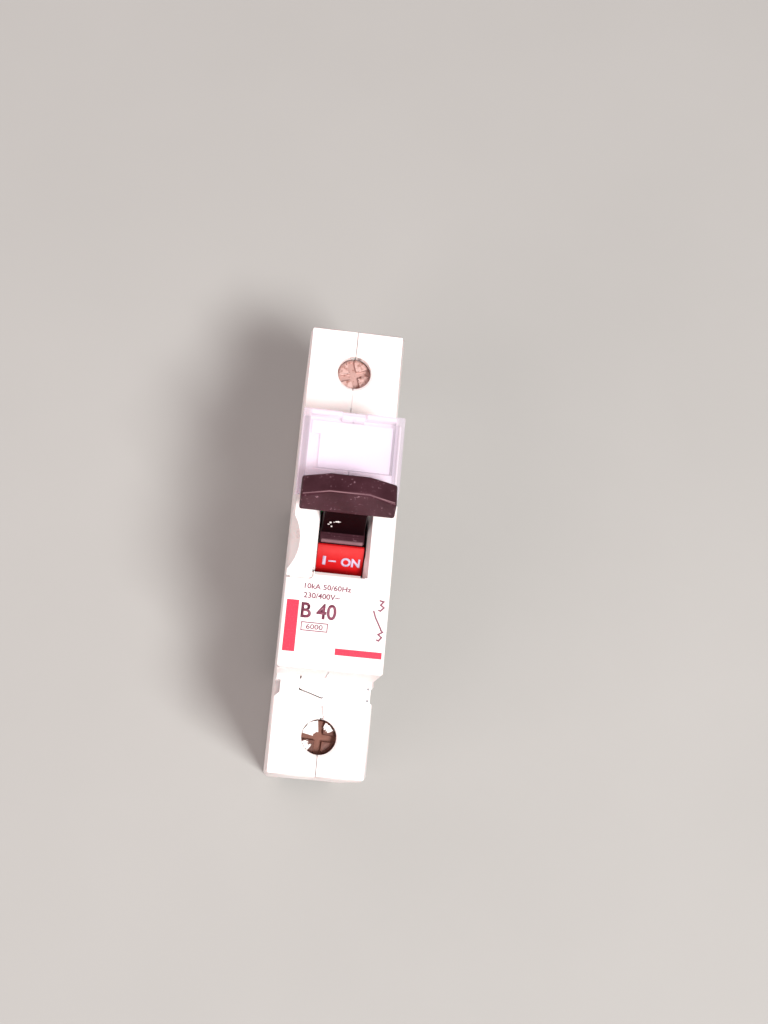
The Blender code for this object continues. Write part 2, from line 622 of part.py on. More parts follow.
def link(handle_empty):
    """Staple-shaped wire from the toggle's crank to the slot in the carrier's tail."""
    crank_y = -CRANK_RADIUS * math.sin(HANDLE_LEAN)
    crank_z = HANDLE_Z - CRANK_RADIUS * math.cos(HANDLE_LEAN)
    tail_y = -TAIL_RADIUS * math.sin(TAIL_SWING)
    tail_z = ARM_Z + TAIL_RADIUS * math.cos(TAIL_SWING)
    side_x, round_off = 2.4, 0.5
    route = [(-2.0, crank_y, crank_z), (side_x - round_off, crank_y, crank_z),
             (side_x, crank_y, crank_z - round_off), (side_x, tail_y, tail_z + round_off),
             (side_x - round_off, tail_y, tail_z), (-3.6, tail_y, tail_z)]
    staple = wire(route, 0.6)
    empty = axis_empty("link_axis", (0, crank_y, crank_z))
    hang_in_place(handle_empty, empty)
    hang_in_place(empty, staple)
    keep(staple, "toggle_link", STEEL)


# --- contacts ---

def rotated_middle(obj):
    """Where a block's middle goes when it is turned about the axis it hangs on."""
    turn = obj.rotation_euler.to_matrix()
    return turn @ obj.location


def contact_arm_group():
    empty = axis_empty("arm_axis", (0, 0, ARM_Z))
    arm_outline = [(-1.8, 1.6), (1.8, 1.8), (2.4, -1.5), (5.4, -11.0), (5.4, -15.8),
                   (4.0, -15.8), (3.8, -12.0), (-1.8, -1.6)]
    arm = cut(plate(arm_outline, -0.8, 0.8), rod("X", (0, 0, 0), PIN_HOLE, 6.0, 16))
    button = rod("Y", (0, 6.15, -13.8), 1.6, 0.9, 20)
    tail_y, tail_z = -math.sin(TAIL_SWING), math.cos(TAIL_SWING)
    tail_box = box((-3.0, -1.9, 0), (-1.1, 1.9, TAIL_RADIUS + 2.2))
    slot = box((-5, -0.95, TAIL_RADIUS - 1.45), (0, 0.95, TAIL_RADIUS + 0.95))
    tail_box.rotation_euler.x = math.atan2(-tail_y, tail_z)
    tail_box.location = rotated_middle(tail_box)
    slot.rotation_euler.x = tail_box.rotation_euler.x
    slot.location = rotated_middle(slot)
    hub = rod("X", (-2.05, 0, 0), 2.6, 1.9)
    bore = rod("X", (-2.05, 0, 0), PIN_HOLE, 6.0, 16)
    carrier = cut(join(hub, tail_box), slot, bore)
    for piece in (arm, button, hub, tail_box, slot, bore, arm.modifiers[0].object):
        piece.parent = empty
    keep(carrier, "arm_carrier", LEVER)
    keep(arm, "contact_arm", COPPER)
    keep(button, "moving_contact", SILVER)
    keep(rod("X", (0, 0, ARM_Z), PIN_RADIUS, 14.0, 16), "arm_pin", STEEL)


def fixed_contacts():
    strip = [(14.5, 22.2), (8.4, 22.2), (8.4, 14.0), (9.5, 14.0), (9.5, 21.0), (14.5, 21.0)]
    keep(plate(strip, -3.2, 3.2), "fixed_contact_plate", COPPER)
    keep(rod("Y", (0, 7.5, ARM_Z - 13.8), 1.8, 1.2, 20), "fixed_contact", SILVER)
    line_runner = [(8.4, 13.7), (8.4, 2.6), (9.5, 2.6), (9.5, 13.7)]
    keep(plate(line_runner, -5.0, 5.0), "arc_runner_line", STEEL)
    load_runner = [(-14.6, 2.6), (-13.5, 2.6), (-13.5, 18.9), (-6.0, 18.9), (-6.0, 20.0),
                   (-14.6, 20.0)]
    keep(plate(load_runner, -4.0, 4.0), "arc_runner_load", COPPER)


def arc_chute():
    """Splitter plates with a V-shaped mouth towards the contacts, between two fibre cheeks."""
    outline = [(-6.25, 3.2), (6.25, 3.2), (6.25, 13.0), (2.6, 13.0), (0, 8.4), (-2.6, 13.0),
               (-6.25, 13.0)]
    for number in range(ARC_PLATES):
        y = ARC_PLATE_FIRST_Y + number * ARC_PLATE_PITCH
        piece = plate(outline, -ARC_PLATE_THICK / 2, ARC_PLATE_THICK / 2, "XY")
        piece.rotation_euler = (math.pi / 2, 0, 0)
        piece.location = (0, y * MM, 0)
        keep(piece, f"arc_plate_{number + 1}", STEEL)
    for side, name in ((-1, "arc_cheek_left"), (1, "arc_cheek_right")):
        low_x, high_x = span(side, 6.55, 7.05)
        keep(box((low_x, -13.1, 3.0), (high_x, 8.0, 13.4)), name, FIBRE)
    baffle = box((-7.0, -16.7, 1.8), (7.0, -15.9, 13.4))
    for x in (-4.4, 0.0, 4.4):
        cut(baffle, box((x - 1.2, -18, 4.0), (x + 1.2, -14, 11.0)))
    keep(baffle, "vent_baffle", FIBRE)


def flexible_parts():
    keep(wire(helix("Y", (0, -11.7, 25.5), 1.0, 7, 1.4), 0.2), "contact_spring", SPRING)
    route = [(0, -17.9, 40.0), (-0.4, -16.6, 39.4), (-1.3, -15.0, 37.6), (-2.1, -13.4, 35.3),
             (-2.5, -11.8, 33.0), (-2.4, -10.0, 31.1), (-2.0, -8.0, 29.9), (-1.4, -6.0, 29.4),
             (-0.7, -4.2, 29.3), (-0.2, -2.8, 29.4), (0, -1.7, 29.5)]
    keep(wire(route, 0.8), "flexible_braid", COPPER)


# --- trip unit ---

def trip_group():
    empty = axis_empty("trip_axis", (0, TRIP_Y, TRIP_Z))
    outline = [(-17.2, 46.4), (-17.2, 44.2), (-11.0, 38.6), (-9.4, 37.9), (5.2, 36.6),
               (5.2, 31.6), (6.5, 31.6), (6.5, 38.4), (-7.4, 41.6), (-9.4, 42.2),
               (-15.8, 46.4)]
    lever = plate(outline, 3.6, 5.4)
    bimetal_bar = box((-2.0, -17.1, 44.4), (4.4, -15.9, 46.2))
    striker_bar = box((-1.2, 5.3, 31.8), (4.4, 6.4, 34.4))
    bore = rod("X", (4.5, TRIP_Y, TRIP_Z), TRIP_HOLE, 6.0, 16)
    cut(join(lever, bimetal_bar, striker_bar), bore)
    hang_in_place(empty, lever, bimetal_bar, striker_bar, bore)
    keep(lever, "trip_lever", LEVER)
    keep(rod("X", (0, TRIP_Y, TRIP_Z), TRIP_PIN_RADIUS, 14.0, 16), "trip_pin", STEEL)
    spring = helix("X", (0.6, TRIP_Y, TRIP_Z), 1.5, 3, 0.6)
    coil = wire([(0.6, TRIP_Y - 2.6, TRIP_Z - 1.5)] + spring
                + [(2.4, TRIP_Y + 2.6, TRIP_Z - 1.5)], 0.2)
    keep(coil, "trip_spring", SPRING)


def bimetal_unit():
    strip = [(-20.8, 25.6), (-18.2, 25.6), (-18.2, 47.0), (-19.2, 47.0), (-19.2, 26.6),
             (-20.8, 26.6)]
    keep(plate(strip, -2.5, 2.5), "bimetal_strip", BIMETAL)
    profile = [(0, 1.2), (2.2, 1.2), (2.2, 0), (1.15, 0), (1.15, -4.4), (0, -4.4)]
    screw = turned("Y", (0, -23.9, 31.0), [(r, -h) for r, h in reversed(profile)], 20)
    cut(screw, box((-3, -26, 30.7), (3, -24.6, 31.3)))
    keep(screw, "calibration_screw", BRONZE)


def solenoid():
    helix_points = helix("Y", (0, COIL_FIRST_Y, COIL_Z), COIL_RADIUS, COIL_TURNS, COIL_PITCH, 14)
    first, last = helix_points[0], helix_points[-1]
    tails = [(0, first[1] - 0.2, 22.6), (0, first[1] - 0.2, 26.0)], [
        (0, last[1] + 0.2, 26.9), (0, last[1] + 0.2, BUSBAR_TOP_Z + 0.35)]
    keep(wire(tails[0] + helix_points + tails[1], COIL_WIRE), "solenoid_coil", COPPER)
    tube, bore, flange, thick = 3.8, 3.2, 6.0, 0.8
    near, far = 10.8, 25.8
    bobbin = [(bore, far), (flange, far), (flange, far - thick), (tube, far - thick),
              (tube, near + thick), (flange, near + thick), (flange, near), (bore, near),
              (bore, far)]
    keep(turned("Y", (0, 0, COIL_Z), bobbin), "solenoid_bobbin", LEVER)
    core = [(1.1, 16.2), (2.9, 16.2), (2.9, 9.3), (1.1, 9.3), (1.1, 16.2)]
    keep(turned("Y", (0, 0, COIL_Z), core), "solenoid_core", STEEL)
    empty = axis_empty("plunger_axis", (0, 0, COIL_Z))
    plunger = turned("Y", (0, 0, 0), [(0, 25.4), (2.9, 25.4), (2.9, 18.8), (0.7, 18.8),
                                      (0.7, 8.9), (0, 8.9)])
    hang(empty, plunger)
    keep(plunger, "solenoid_plunger", STEEL)
    keep(wire(helix("Y", (0, 16.8, COIL_Z), 1.6, 3, 0.55), 0.18), "plunger_spring", SPRING)
    yoke = [(9.6, 27.0), (10.5, 27.0), (10.5, 39.4), (26.1, 39.4), (26.1, 27.0), (27.0, 27.0),
            (27.0, 40.4), (9.6, 40.4)]
    keep(cut(plate(yoke, -4.5, 4.5), rod("Y", (0, 10.0, COIL_Z), 3.2, 3.0)), "magnet_yoke", STEEL)


# --- terminals ---

def terminal_screw(name, y, turn):
    """Clamping screw with a combined slot and cross recess, left at some angle."""
    tip_z = BUSBAR_TOP_Z + GAP
    empty = axis_empty(name + "_axis", (0, y, 0))
    screw = turned("Z", (0, 0, 0), [
        (0, HEAD_TOP_Z), (HEAD_RADIUS - 0.4, HEAD_TOP_Z), (HEAD_RADIUS, HEAD_TOP_Z - 0.4),
        (HEAD_RADIUS, HEAD_LOW_Z), (SHANK_RADIUS, HEAD_LOW_Z), (SHANK_RADIUS, tip_z), (0, tip_z)])
    slot = box((-4, -0.5, HEAD_TOP_Z - 1.2), (4, 0.5, HEAD_TOP_Z + 1))
    cross = box((-0.5, -2.0, HEAD_TOP_Z - 1.6), (0.5, 2.0, HEAD_TOP_Z + 1))
    slot.rotation_euler.z = turn
    cross.rotation_euler.z = turn
    cut(screw, slot, cross)
    hang(empty, screw, slot, cross)
    keep(screw, name, BRONZE)


def terminal_cage(name, y):
    """Box clamp that rises on the screw and pulls the wire up against the busbar."""
    empty = axis_empty(name + "_axis", (0, y, 0))
    cage = box((-CAGE_X, -CAGE_HALF_Y, CAGE_LOW_Z), (CAGE_X, CAGE_HALF_Y, CAGE_TOP_Z))
    window = box((-CAGE_INNER_X, -CAGE_HALF_Y - OVER, CAGE_FLOOR_Z),
                 (CAGE_INNER_X, CAGE_HALF_Y + OVER, CAGE_ROOF_Z))
    thread = rod("Z", (0, 0, CAGE_TOP_Z), SHANK_RADIUS + GAP, 6.0)
    cut(cage, window, thread)
    hang(empty, cage, window, thread)
    keep(cage, name, STEEL)


def terminals():
    terminal_screw("line_screw", LINE_Y, LINE_SLOT_ANGLE)
    terminal_screw("load_screw", LOAD_Y, LOAD_SLOT_ANGLE)
    terminal_cage("line_cage", LINE_Y)
    terminal_cage("load_cage", LOAD_Y)
    keep(box((-BUSBAR_X, 22.5, BUSBAR_LOW_Z), (BUSBAR_X, 39.3, BUSBAR_TOP_Z)),
         "line_busbar", COPPER)
    load_bar = box((-BUSBAR_X, -37.2, BUSBAR_LOW_Z), (BUSBAR_X, -17.5, BUSBAR_TOP_Z))
    join(load_bar, box((-BUSBAR_X, -22.3, BUSBAR_LOW_Z), (BUSBAR_X, -21.1, 35.0)))
    cut(load_bar, rod("Y", (0, -21.7, 31.0), 1.5, 4.0, 16))
    keep(load_bar, "load_busbar", COPPER)


# --- rail clip and label cover ---

def din_clip():
    """Sliding clip: a bevelled lip catches the rail, and a window holds its spring."""
    empty = axis_empty("clip_axis", (0, 0, 0))
    low_y, root_y, tip_y = -39.6, PAD_EDGE_Y - 0.4, -15.9
    outline = [(low_y, -4.9), (root_y + 0.6, -4.9), (tip_y, -2.2), (tip_y, -1.5), (low_y, -1.5)]
    body = plate(outline, -4.8, 4.8)
    flanges = box((-6.0, low_y, -3.3), (6.0, root_y, -2.7))
    window = box((-1.7, -33.5, -6), (1.7, -24.5, 0))
    pry_slot = box((-2.6, -38.3, -6), (2.6, -36.6, 0))
    join(body, flanges)
    cut(body, window, pry_slot)
    hang(empty, body, flanges, window, pry_slot)
    keep(body, "din_clip", NYLON)
    keep(wire(helix("Y", (0, -31.6, -3.2), 1.0, 5, 1.3), 0.2), "din_clip_spring", SPRING)


def label_cover():
    """Clear cover with two cheeks, hinged on studs at its lower, rounded end."""
    empty = axis_empty("cover_axis", (0, COVER_Y, COVER_Z))
    reach, half_round = COVER_TOP_Y - COVER_Y, math.pi / 2
    outline = ([(reach, -COVER_ROUND), (reach, COVER_ROUND)]
               + arc((0, 0), COVER_ROUND, half_round, 3 * half_round, 12))
    inside_x = HALF_WIDTH - COVER_WALL
    cover = plate(outline, -HALF_WIDTH, HALF_WIDTH)
    inside = box((-inside_x, -6, -6), (inside_x, 20, COVER_ROUND - COVER_WALL))
    lower_end = box((-inside_x, -6, -6), (inside_x, -1.0, 6))
    studs = rod("X", (0, 0, 0), 0.8, 2 * inside_x + 0.6, 16)
    between = box((-6.9, -2, -2), (6.9, 2, 1.5))
    cut(studs, between)
    nail_notch = box((-2.0, reach - 0.6, COVER_ROUND - 0.5), (2.0, reach + 1, COVER_ROUND + 1))
    cut(cover, inside, lower_end)
    join(cover, studs)
    cut(cover, nail_notch)
    hang(empty, cover, inside, lower_end, studs, between, nail_notch)
    keep(cover, "label_cover", CLEAR)
    card = [(-5.5, 12.4), (7.1, 12.4), (7.1, 20.8), (-7.1, 20.8), (-7.1, 18.5), (-5.5, 18.5)]
    keep(plate(card, 57.7, 58.1, "XY"), "label_card", CARD)


def main():
    housing_half(1, "housing_right")
    housing_half(-1, "housing_left")
    rivets()
    handle_empty = toggle_group()
    link(handle_empty)
    contact_arm_group()
    fixed_contacts()
    arc_chute()
    flexible_parts()
    trip_group()
    bimetal_unit()
    solenoid()
    terminals()
    din_clip()
    label_cover()


main()
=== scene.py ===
"""Looks of the miniature circuit breaker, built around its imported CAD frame.

Lengths are in millimetres and MM turns them into metres. The breaker lies on its back: +Z points
out of its front face, +Y towards the line terminal, and the origin is the middle of its rail seat.
"""
import json
import math
import random

import bmesh
import bpy
from mathutils import Matrix, Vector


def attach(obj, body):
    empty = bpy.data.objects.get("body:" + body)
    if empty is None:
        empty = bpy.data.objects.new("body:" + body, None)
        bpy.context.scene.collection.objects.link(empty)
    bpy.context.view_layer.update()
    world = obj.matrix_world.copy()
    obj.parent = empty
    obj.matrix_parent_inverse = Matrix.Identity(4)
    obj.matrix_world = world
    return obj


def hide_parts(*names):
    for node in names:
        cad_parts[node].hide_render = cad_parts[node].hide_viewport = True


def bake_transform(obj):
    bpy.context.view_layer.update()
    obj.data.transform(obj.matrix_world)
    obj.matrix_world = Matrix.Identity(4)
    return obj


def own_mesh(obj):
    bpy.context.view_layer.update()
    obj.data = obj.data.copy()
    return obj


MM = 0.001

# Places on the breaker, as in the CAD
FRONT_Z, RIM_Z, SHOULDER_Z, BACK_Z = 60.0, 59.5, 44.0, -5.5
HALF_WIDTH, NOSE_Y, TOP_Y, BOTTOM_Y = 8.85, 22.5, 43.2, -40.0
TOGGLE_Z, TOGGLE_LEAN = 51.0, math.radians(22.5)
DRUM_X, DRUM_RADIUS, FLAG_X, FLAG_INNER, FLAG_OUTER = 4.0, 7.0, 4.0, 6.3, 6.9
FLAG_NEAR, FLAG_FAR = math.radians(28.8), math.radians(82.0)
LINE_Y, LOAD_Y, WELL_RIM = 35.1, -32.8, 4.2
SCREWS = {"line_screw": (LINE_Y, math.radians(18.0)), "load_screw": (LOAD_Y, math.radians(-3.0))}
HEAD_RADIUS, HEAD_LOW_Z, HEAD_TOP_Z = 3.3, 38.9, 41.6
NECK_LOW, NECK_HIGH, NECK_HALF_THICK = 6.8, 14.0, 1.6
SLOT_X, SLOT_Y = 5.0, 7.0
RIVET_RADIUS, RIVET_HEAD, RIVET_POCKET = 1.15, 2.1, 2.7
SHANK_RADIUS, SHANK_LOW_Z, THREAD_PITCH = 2.45, 25.6, 0.8
DISH_Y, DISH_Z, DISH_RIM = -1.2, 56.0, 7.4
RIVETS = ((38.5, 7.0), (20.0, 10.0), (17.0, 48.0), (-15.5, 53.0), (-35.4, 7.0))

# Camera, fitted to the sizes above
CAMERA_PLACE = (-10.43, -42.17, 272.94)
CAMERA_TURN = (12.08, -5.67, 5.05)
CAMERA_LENS, CAMERA_SENSOR = 44.95, 36.0

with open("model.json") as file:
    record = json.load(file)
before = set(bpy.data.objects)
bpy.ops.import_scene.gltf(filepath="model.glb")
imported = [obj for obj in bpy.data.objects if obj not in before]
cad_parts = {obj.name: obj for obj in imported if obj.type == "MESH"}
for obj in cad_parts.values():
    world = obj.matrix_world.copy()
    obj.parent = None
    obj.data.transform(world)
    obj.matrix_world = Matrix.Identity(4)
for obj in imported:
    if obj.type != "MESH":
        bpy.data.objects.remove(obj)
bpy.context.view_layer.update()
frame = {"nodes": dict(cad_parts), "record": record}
NODES = frame["nodes"]
draw = random.Random(7)


# --- materials ---

class Finish:
    """A procedural material while it is built: one Principled shader and what feeds it.

    A texture's place is the piece's own coordinates at rest, so it moves with the piece.
    """

    def __init__(self, name, metallic=0.0):
        self.material = bpy.data.materials.new(name)
        self.material.use_nodes = True
        self.tree = self.material.node_tree
        self.shader = self.tree.nodes["Principled BSDF"]
        self.shader.inputs["Metallic"].default_value = metallic
        self.place = self.node("ShaderNodeTexCoord").outputs["Object"]

    def node(self, kind, **settings):
        made = self.tree.nodes.new(kind)
        for key, value in settings.items():
            setattr(made, key, value)
        return made

    def link(self, source, target):
        self.tree.links.new(source, target)

    def noise(self, size, detail=3.0, roughness=0.55, stretch=None):
        """A cloudy value around 0.5 whose features are about `size` mm across."""
        texture = self.node("ShaderNodeTexNoise")
        texture.inputs["Scale"].default_value = 1 / (size * MM)
        texture.inputs["Detail"].default_value = detail
        texture.inputs["Roughness"].default_value = roughness
        self.link(self.stretched(stretch), texture.inputs["Vector"])
        return texture.outputs["Fac"]

    def cells(self, size, stretch=None):
        """A random value for each cell about `size` mm across."""
        texture = self.node("ShaderNodeTexVoronoi")
        texture.inputs["Scale"].default_value = 1 / (size * MM)
        self.link(self.stretched(stretch), texture.inputs["Vector"])
        grey = self.node("ShaderNodeSeparateColor")
        self.link(texture.outputs["Color"], grey.inputs["Color"])
        return grey.outputs[0]

    def stretched(self, stretch):
        """The place with each axis scaled; a small scale draws a texture out along it."""
        if stretch is None:
            return self.place
        mapping = self.node("ShaderNodeMapping")
        mapping.inputs["Scale"].default_value = stretch
        self.link(self.place, mapping.inputs["Vector"])
        return mapping.outputs["Vector"]

    def ramp(self, value, low, high, out_low=0.0, out_high=1.0):
        """The value spread from [low, high] to [out_low, out_high], and held there outside."""
        made = self.node("ShaderNodeMapRange")
        for key, number in zip(("From Min", "From Max", "To Min", "To Max"),
                               (low, high, out_low, out_high)):
            made.inputs[key].default_value = number
        self.link(value, made.inputs["Value"])
        return made.outputs["Result"]

    def math(self, operation, first, second):
        """Either side is a number or another node's value."""
        made = self.node("ShaderNodeMath", operation=operation)
        for socket, value in zip(made.inputs, (first, second)):
            if isinstance(value, (int, float)):
                socket.default_value = value
            else:
                self.link(value, socket)
        return made.outputs["Value"]

    def blend(self, factor, first, second):
        """Colour `first` where the factor is 0 and `second` where it is 1."""
        made = self.node("ShaderNodeMix", data_type="RGBA")
        self.link(factor, made.inputs["Factor"])
        for socket, value in ((made.inputs["A"], first), (made.inputs["B"], second)):
            if isinstance(value, tuple):
                socket.default_value = (*value, 1.0)
            else:
                self.link(value, socket)
        return made.outputs["Result"]

    def bump(self, *layers):
        """Relief from (value, depth in mm) layers, one on top of the other."""
        normal = None
        for value, depth in layers:
            made = self.node("ShaderNodeBump")
            made.inputs["Distance"].default_value = depth * MM
            made.inputs["Strength"].default_value = 1.0
            self.link(value, made.inputs["Height"])
            if normal is not None:
                self.link(normal, made.inputs["Normal"])
            normal = made.outputs["Normal"]
        self.link(normal, self.shader.inputs["Normal"])

    def height(self, place):
        """The third coordinate of a place."""
        axes = self.node("ShaderNodeSeparateXYZ")
        self.link(place, axes.inputs["Vector"])
        return axes.outputs["Z"]

    def colour(self, value):
        self.link(value, self.shader.inputs["Base Color"])

    def roughness(self, value, low, high):
        """Roughness from low to high as a cloudy value goes from its valleys to its peaks."""
        self.link(self.ramp(value, 0.3, 0.7, low, high), self.shader.inputs["Roughness"])


def moulded(name, colour, shade, speck, rough, grain=0.010, dust=0.70):
    """Moulded plastic: fine tool grain, cloudy shade, handling marks and specks of dust."""
    made = Finish(name)
    clouds = made.noise(5.0, 4.0)
    body = made.blend(made.ramp(clouds, 0.35, 0.7), colour, shade)
    scuffs = made.ramp(made.noise(0.5, 4.0, 0.6, (1.0, 0.12, 1.0)), 0.66, 0.74)
    body = made.blend(made.math("MULTIPLY", scuffs, 0.25), body, speck)
    settled = made.ramp(made.noise(2.5, 2.0), 0.42, 0.58)
    specks = made.ramp(made.noise(0.42, 2.0, 0.5), dust, dust + 0.06)
    specks = made.math("MULTIPLY", specks, settled)
    made.colour(made.blend(made.math("MULTIPLY", specks, 0.6), body, speck))
    made.roughness(made.noise(1.4, 3.0), *rough)
    made.bump((made.noise(0.14, 2.0), grain), (made.noise(6.0, 2.0), 0.05))
    return made


def metal(name, colour, shade, rough, brushed=(1.0, 1.0, 1.0), size=0.9):
    """Bare or plated metal: spangle, drawn or rolled lines, and tarnish in patches."""
    made = Finish(name, metallic=1.0)
    tarnish = made.ramp(made.noise(2.2, 5.0, 0.6), 0.42, 0.68)
    body = made.blend(tarnish, colour, shade)
    spangle = made.math("MULTIPLY", made.cells(size), 0.22)
    made.colour(made.blend(spangle, body, shade))
    lines = made.noise(0.10, 3.0, 0.6, brushed)
    made.roughness(lines, *rough)
    made.bump((lines, 0.012), (made.noise(0.9, 2.0), 0.02))
    return made


def paper(name, colour, shade, rough=(0.6, 0.8)):
    """Card or pressed fibre: short fibres across each other under a matt surface."""
    made = Finish(name)
    along = made.noise(0.20, 3.0, 0.6, (0.15, 1.0, 1.0))
    across = made.noise(0.20, 3.0, 0.6, (1.0, 0.15, 1.0))
    fibres = made.math("MAXIMUM", along, across)
    made.colour(made.blend(made.ramp(fibres, 0.5, 0.8), colour, shade))
    made.roughness(along, *rough)
    made.bump((fibres, 0.012))
    return made


def clear(name):
    """Violet-tinted clear plastic with faint wiping marks."""
    made = Finish(name)
    haze = made.noise(0.8, 4.0, 0.6, (1.0, 0.3, 1.0))
    made.colour(made.blend(made.ramp(haze, 0.4, 0.8), (0.96, 0.89, 0.99), (0.90, 0.83, 0.96)))
    made.link(made.ramp(haze, 0.45, 0.8, 0.04, 0.14), made.shader.inputs["Roughness"])
    made.shader.inputs["Specular IOR Level"].default_value = 1.0
    made.bump((made.noise(4.0, 2.0), 0.02))
    through = made.node("ShaderNodeBsdfTransparent")
    through.inputs["Color"].default_value = (0.985, 0.962, 0.998, 1.0)
    film = made.node("ShaderNodeMixShader")
    film.inputs["Fac"].default_value = 0.24
    made.link(through.outputs["BSDF"], film.inputs[1])
    made.link(made.shader.outputs["BSDF"], film.inputs[2])
    output = made.tree.nodes["Material Output"]
    made.link(film.outputs["Shader"], output.inputs["Surface"])
    return made


def screw_metal(name, bright, dark, wear, grime=0.9, patch=1.1):
    """Nickel-plated brass worn in patches, with grime in the recess of the head."""
    made = Finish(name, metallic=0.3)
    patches = made.ramp(made.noise(patch, 4.0, 0.6), *wear)
    sunk = made.ramp(made.height(made.place), (HEAD_TOP_Z - 0.5) * MM, (HEAD_TOP_Z - 0.1) * MM,
                     grime, 0.0)
    body = made.blend(made.math("MAXIMUM", patches, sunk), bright, dark)
    scratches = made.ramp(made.noise(0.16, 3.0, 0.6, (1.0, 0.1, 1.0)), 0.60, 0.68)
    made.colour(made.blend(made.math("MULTIPLY", scratches, 0.35), body, bright))
    made.roughness(patches, 0.48, 0.7)
    made.bump((made.noise(0.7, 3.0, 0.6), 0.03), (made.noise(0.12, 2.0), 0.008))
    return made


def ink(name, colour, thin):
    """Pad-printed ink, thinner in places."""
    made = Finish(name)
    made.colour(made.blend(made.ramp(made.noise(0.25, 3.0, 0.6), 0.5, 0.8), colour, thin))
    made.roughness(made.noise(0.4), 0.40, 0.55)
    made.bump((made.noise(0.2, 2.0), 0.004))
    return made


def paint_neck_shadow(made):
    """Painted shadow on the toggle's neck, between its drum and its bar: near-black colour and weak
    reflection where the bar shades it.
    """
    upright = made.node("ShaderNodeMapping")
    upright.inputs["Location"].default_value = (0, 0, -TOGGLE_Z * math.cos(TOGGLE_LEAN) * MM)
    upright.inputs["Rotation"].default_value = (TOGGLE_LEAN, 0, 0)
    made.link(made.place, upright.inputs["Vector"])
    height = made.height(upright.outputs["Vector"])
    above_drum = made.ramp(height, NECK_LOW * MM, (NECK_LOW + 0.3) * MM)
    below_bar = made.ramp(height, (NECK_HIGH - 0.5) * MM, NECK_HIGH * MM, 1.0, 0.0)
    neck = made.math("MULTIPLY", above_drum, below_bar)
    worn = made.shader.inputs["Base Color"].links[0].from_socket
    # Painted shadow: the neck's colour goes near black and its specular drops.
    made.colour(made.blend(neck, worn, (0.006, 0.0015, 0.0022)))
    made.link(made.ramp(neck, 0.0, 1.0, 0.5, 0.08), made.shader.inputs["Specular IOR Level"])


def make_finishes():
    """One finish for each material slot of the record, and a few for print and paint."""
    white = moulded("white_plastic", (0.90, 0.835, 0.82), (0.87, 0.80, 0.785),
                    (0.70, 0.58, 0.55), (0.36, 0.50), dust=0.77)
    white.shader.inputs["Subsurface Weight"].default_value = 0.15
    white.shader.inputs["Subsurface Radius"].default_value = (1.0, 0.35, 0.30)
    white.shader.inputs["Subsurface Scale"].default_value = MM
    dark = moulded("aubergine_plastic", (0.024, 0.005, 0.009), (0.050, 0.016, 0.024),
                   (0.34, 0.20, 0.24), (0.34, 0.48), 0.008, 0.64)
    dark.shader.inputs["Specular Tint"].default_value = (1.0, 0.55, 0.62, 1.0)
    paint_neck_shadow(dark)
    red = moulded("red_plastic", (0.52, 0.006, 0.008), (0.47, 0.005, 0.007),
                  (0.85, 0.25, 0.22), (0.35, 0.5), 0.006, 0.78)
    red.shader.inputs["Specular Tint"].default_value = (1.0, 0.4, 0.4, 1.0)
    return {
        "white_plastic": white,
        "aubergine_plastic": dark,
        "red_plastic": red,
        "green_plastic": moulded("green_plastic", (0.02, 0.36, 0.08), (0.015, 0.30, 0.07),
                                 (0.30, 0.60, 0.35), (0.35, 0.5), 0.006, 0.78),
        "violet_clear_plastic": clear("violet_clear_plastic"),
        "label_card": paper("label_card", (0.90, 0.87, 0.885), (0.86, 0.83, 0.85)),
        "zinc_plated_steel": metal("zinc_plated_steel", (0.66, 0.66, 0.64), (0.46, 0.45, 0.42),
                                   (0.22, 0.42)),
        "spring_steel": metal("spring_steel", (0.55, 0.55, 0.56), (0.34, 0.33, 0.32),
                              (0.2, 0.35), (1.0, 0.2, 1.0)),
        "copper": metal("copper", (0.86, 0.44, 0.28), (0.45, 0.20, 0.12), (0.22, 0.45),
                        (0.2, 1.0, 1.0)),
        "silver_contact": metal("silver_contact", (0.88, 0.87, 0.84), (0.52, 0.50, 0.46),
                                (0.2, 0.4)),
        "nickel_bronze": screw_metal("nickel_bronze", (0.62, 0.47, 0.40), (0.26, 0.15, 0.11),
                                     (0.40, 0.66)),
        "bimetal": metal("bimetal", (0.68, 0.60, 0.50), (0.46, 0.38, 0.30), (0.25, 0.45),
                         (1.0, 1.0, 0.1)),
        "fibre": paper("fibre", (0.56, 0.42, 0.30), (0.40, 0.28, 0.19), (0.7, 0.9)),
        "lever_plastic": moulded("lever_plastic", (0.26, 0.26, 0.28), (0.21, 0.21, 0.23),
                                 (0.45, 0.45, 0.46), (0.4, 0.55)),
        "clip_plastic": moulded("clip_plastic", (0.045, 0.045, 0.05), (0.07, 0.07, 0.075),
                                (0.22, 0.21, 0.20), (0.42, 0.6), 0.012, 0.74),
        "line_screw": screw_metal("line_screw_metal", (0.68, 0.46, 0.42), (0.36, 0.17, 0.135),
                                  (0.47, 0.66), 0.35, 0.8),
        "load_screw": screw_metal("load_screw_metal", (0.10, 0.035, 0.024), (0.19, 0.075, 0.05),
                                  (0.45, 0.80)),
        # Lighter aubergine for the crest bead and the drum's end ribs: edge wear, and a painted
        # highlight where those edges catch the light.
        "aubergine_wear_and_highlight": moulded("aubergine_wear_and_highlight", (0.22, 0.115, 0.13), (0.13, 0.06, 0.075),
                                  (0.34, 0.20, 0.24), (0.3, 0.45), 0.008, 0.70),
        "dark_ink": ink("dark_ink", (0.20, 0.045, 0.085), (0.30, 0.10, 0.14)),
        "red_ink": ink("red_ink", (0.80, 0.020, 0.060), (0.84, 0.06, 0.11)),
        "pale_ink": ink("pale_ink", (0.52, 0.46, 0.62), (0.60, 0.38, 0.46)),
        "paint": ink("white_paint", (0.88, 0.85, 0.83), (0.80, 0.76, 0.72)),
    }


FINISHES = make_finishes()


def dress(obj, finish):
    obj.data.materials.clear()
    obj.data.materials.append(FINISHES[finish].material)


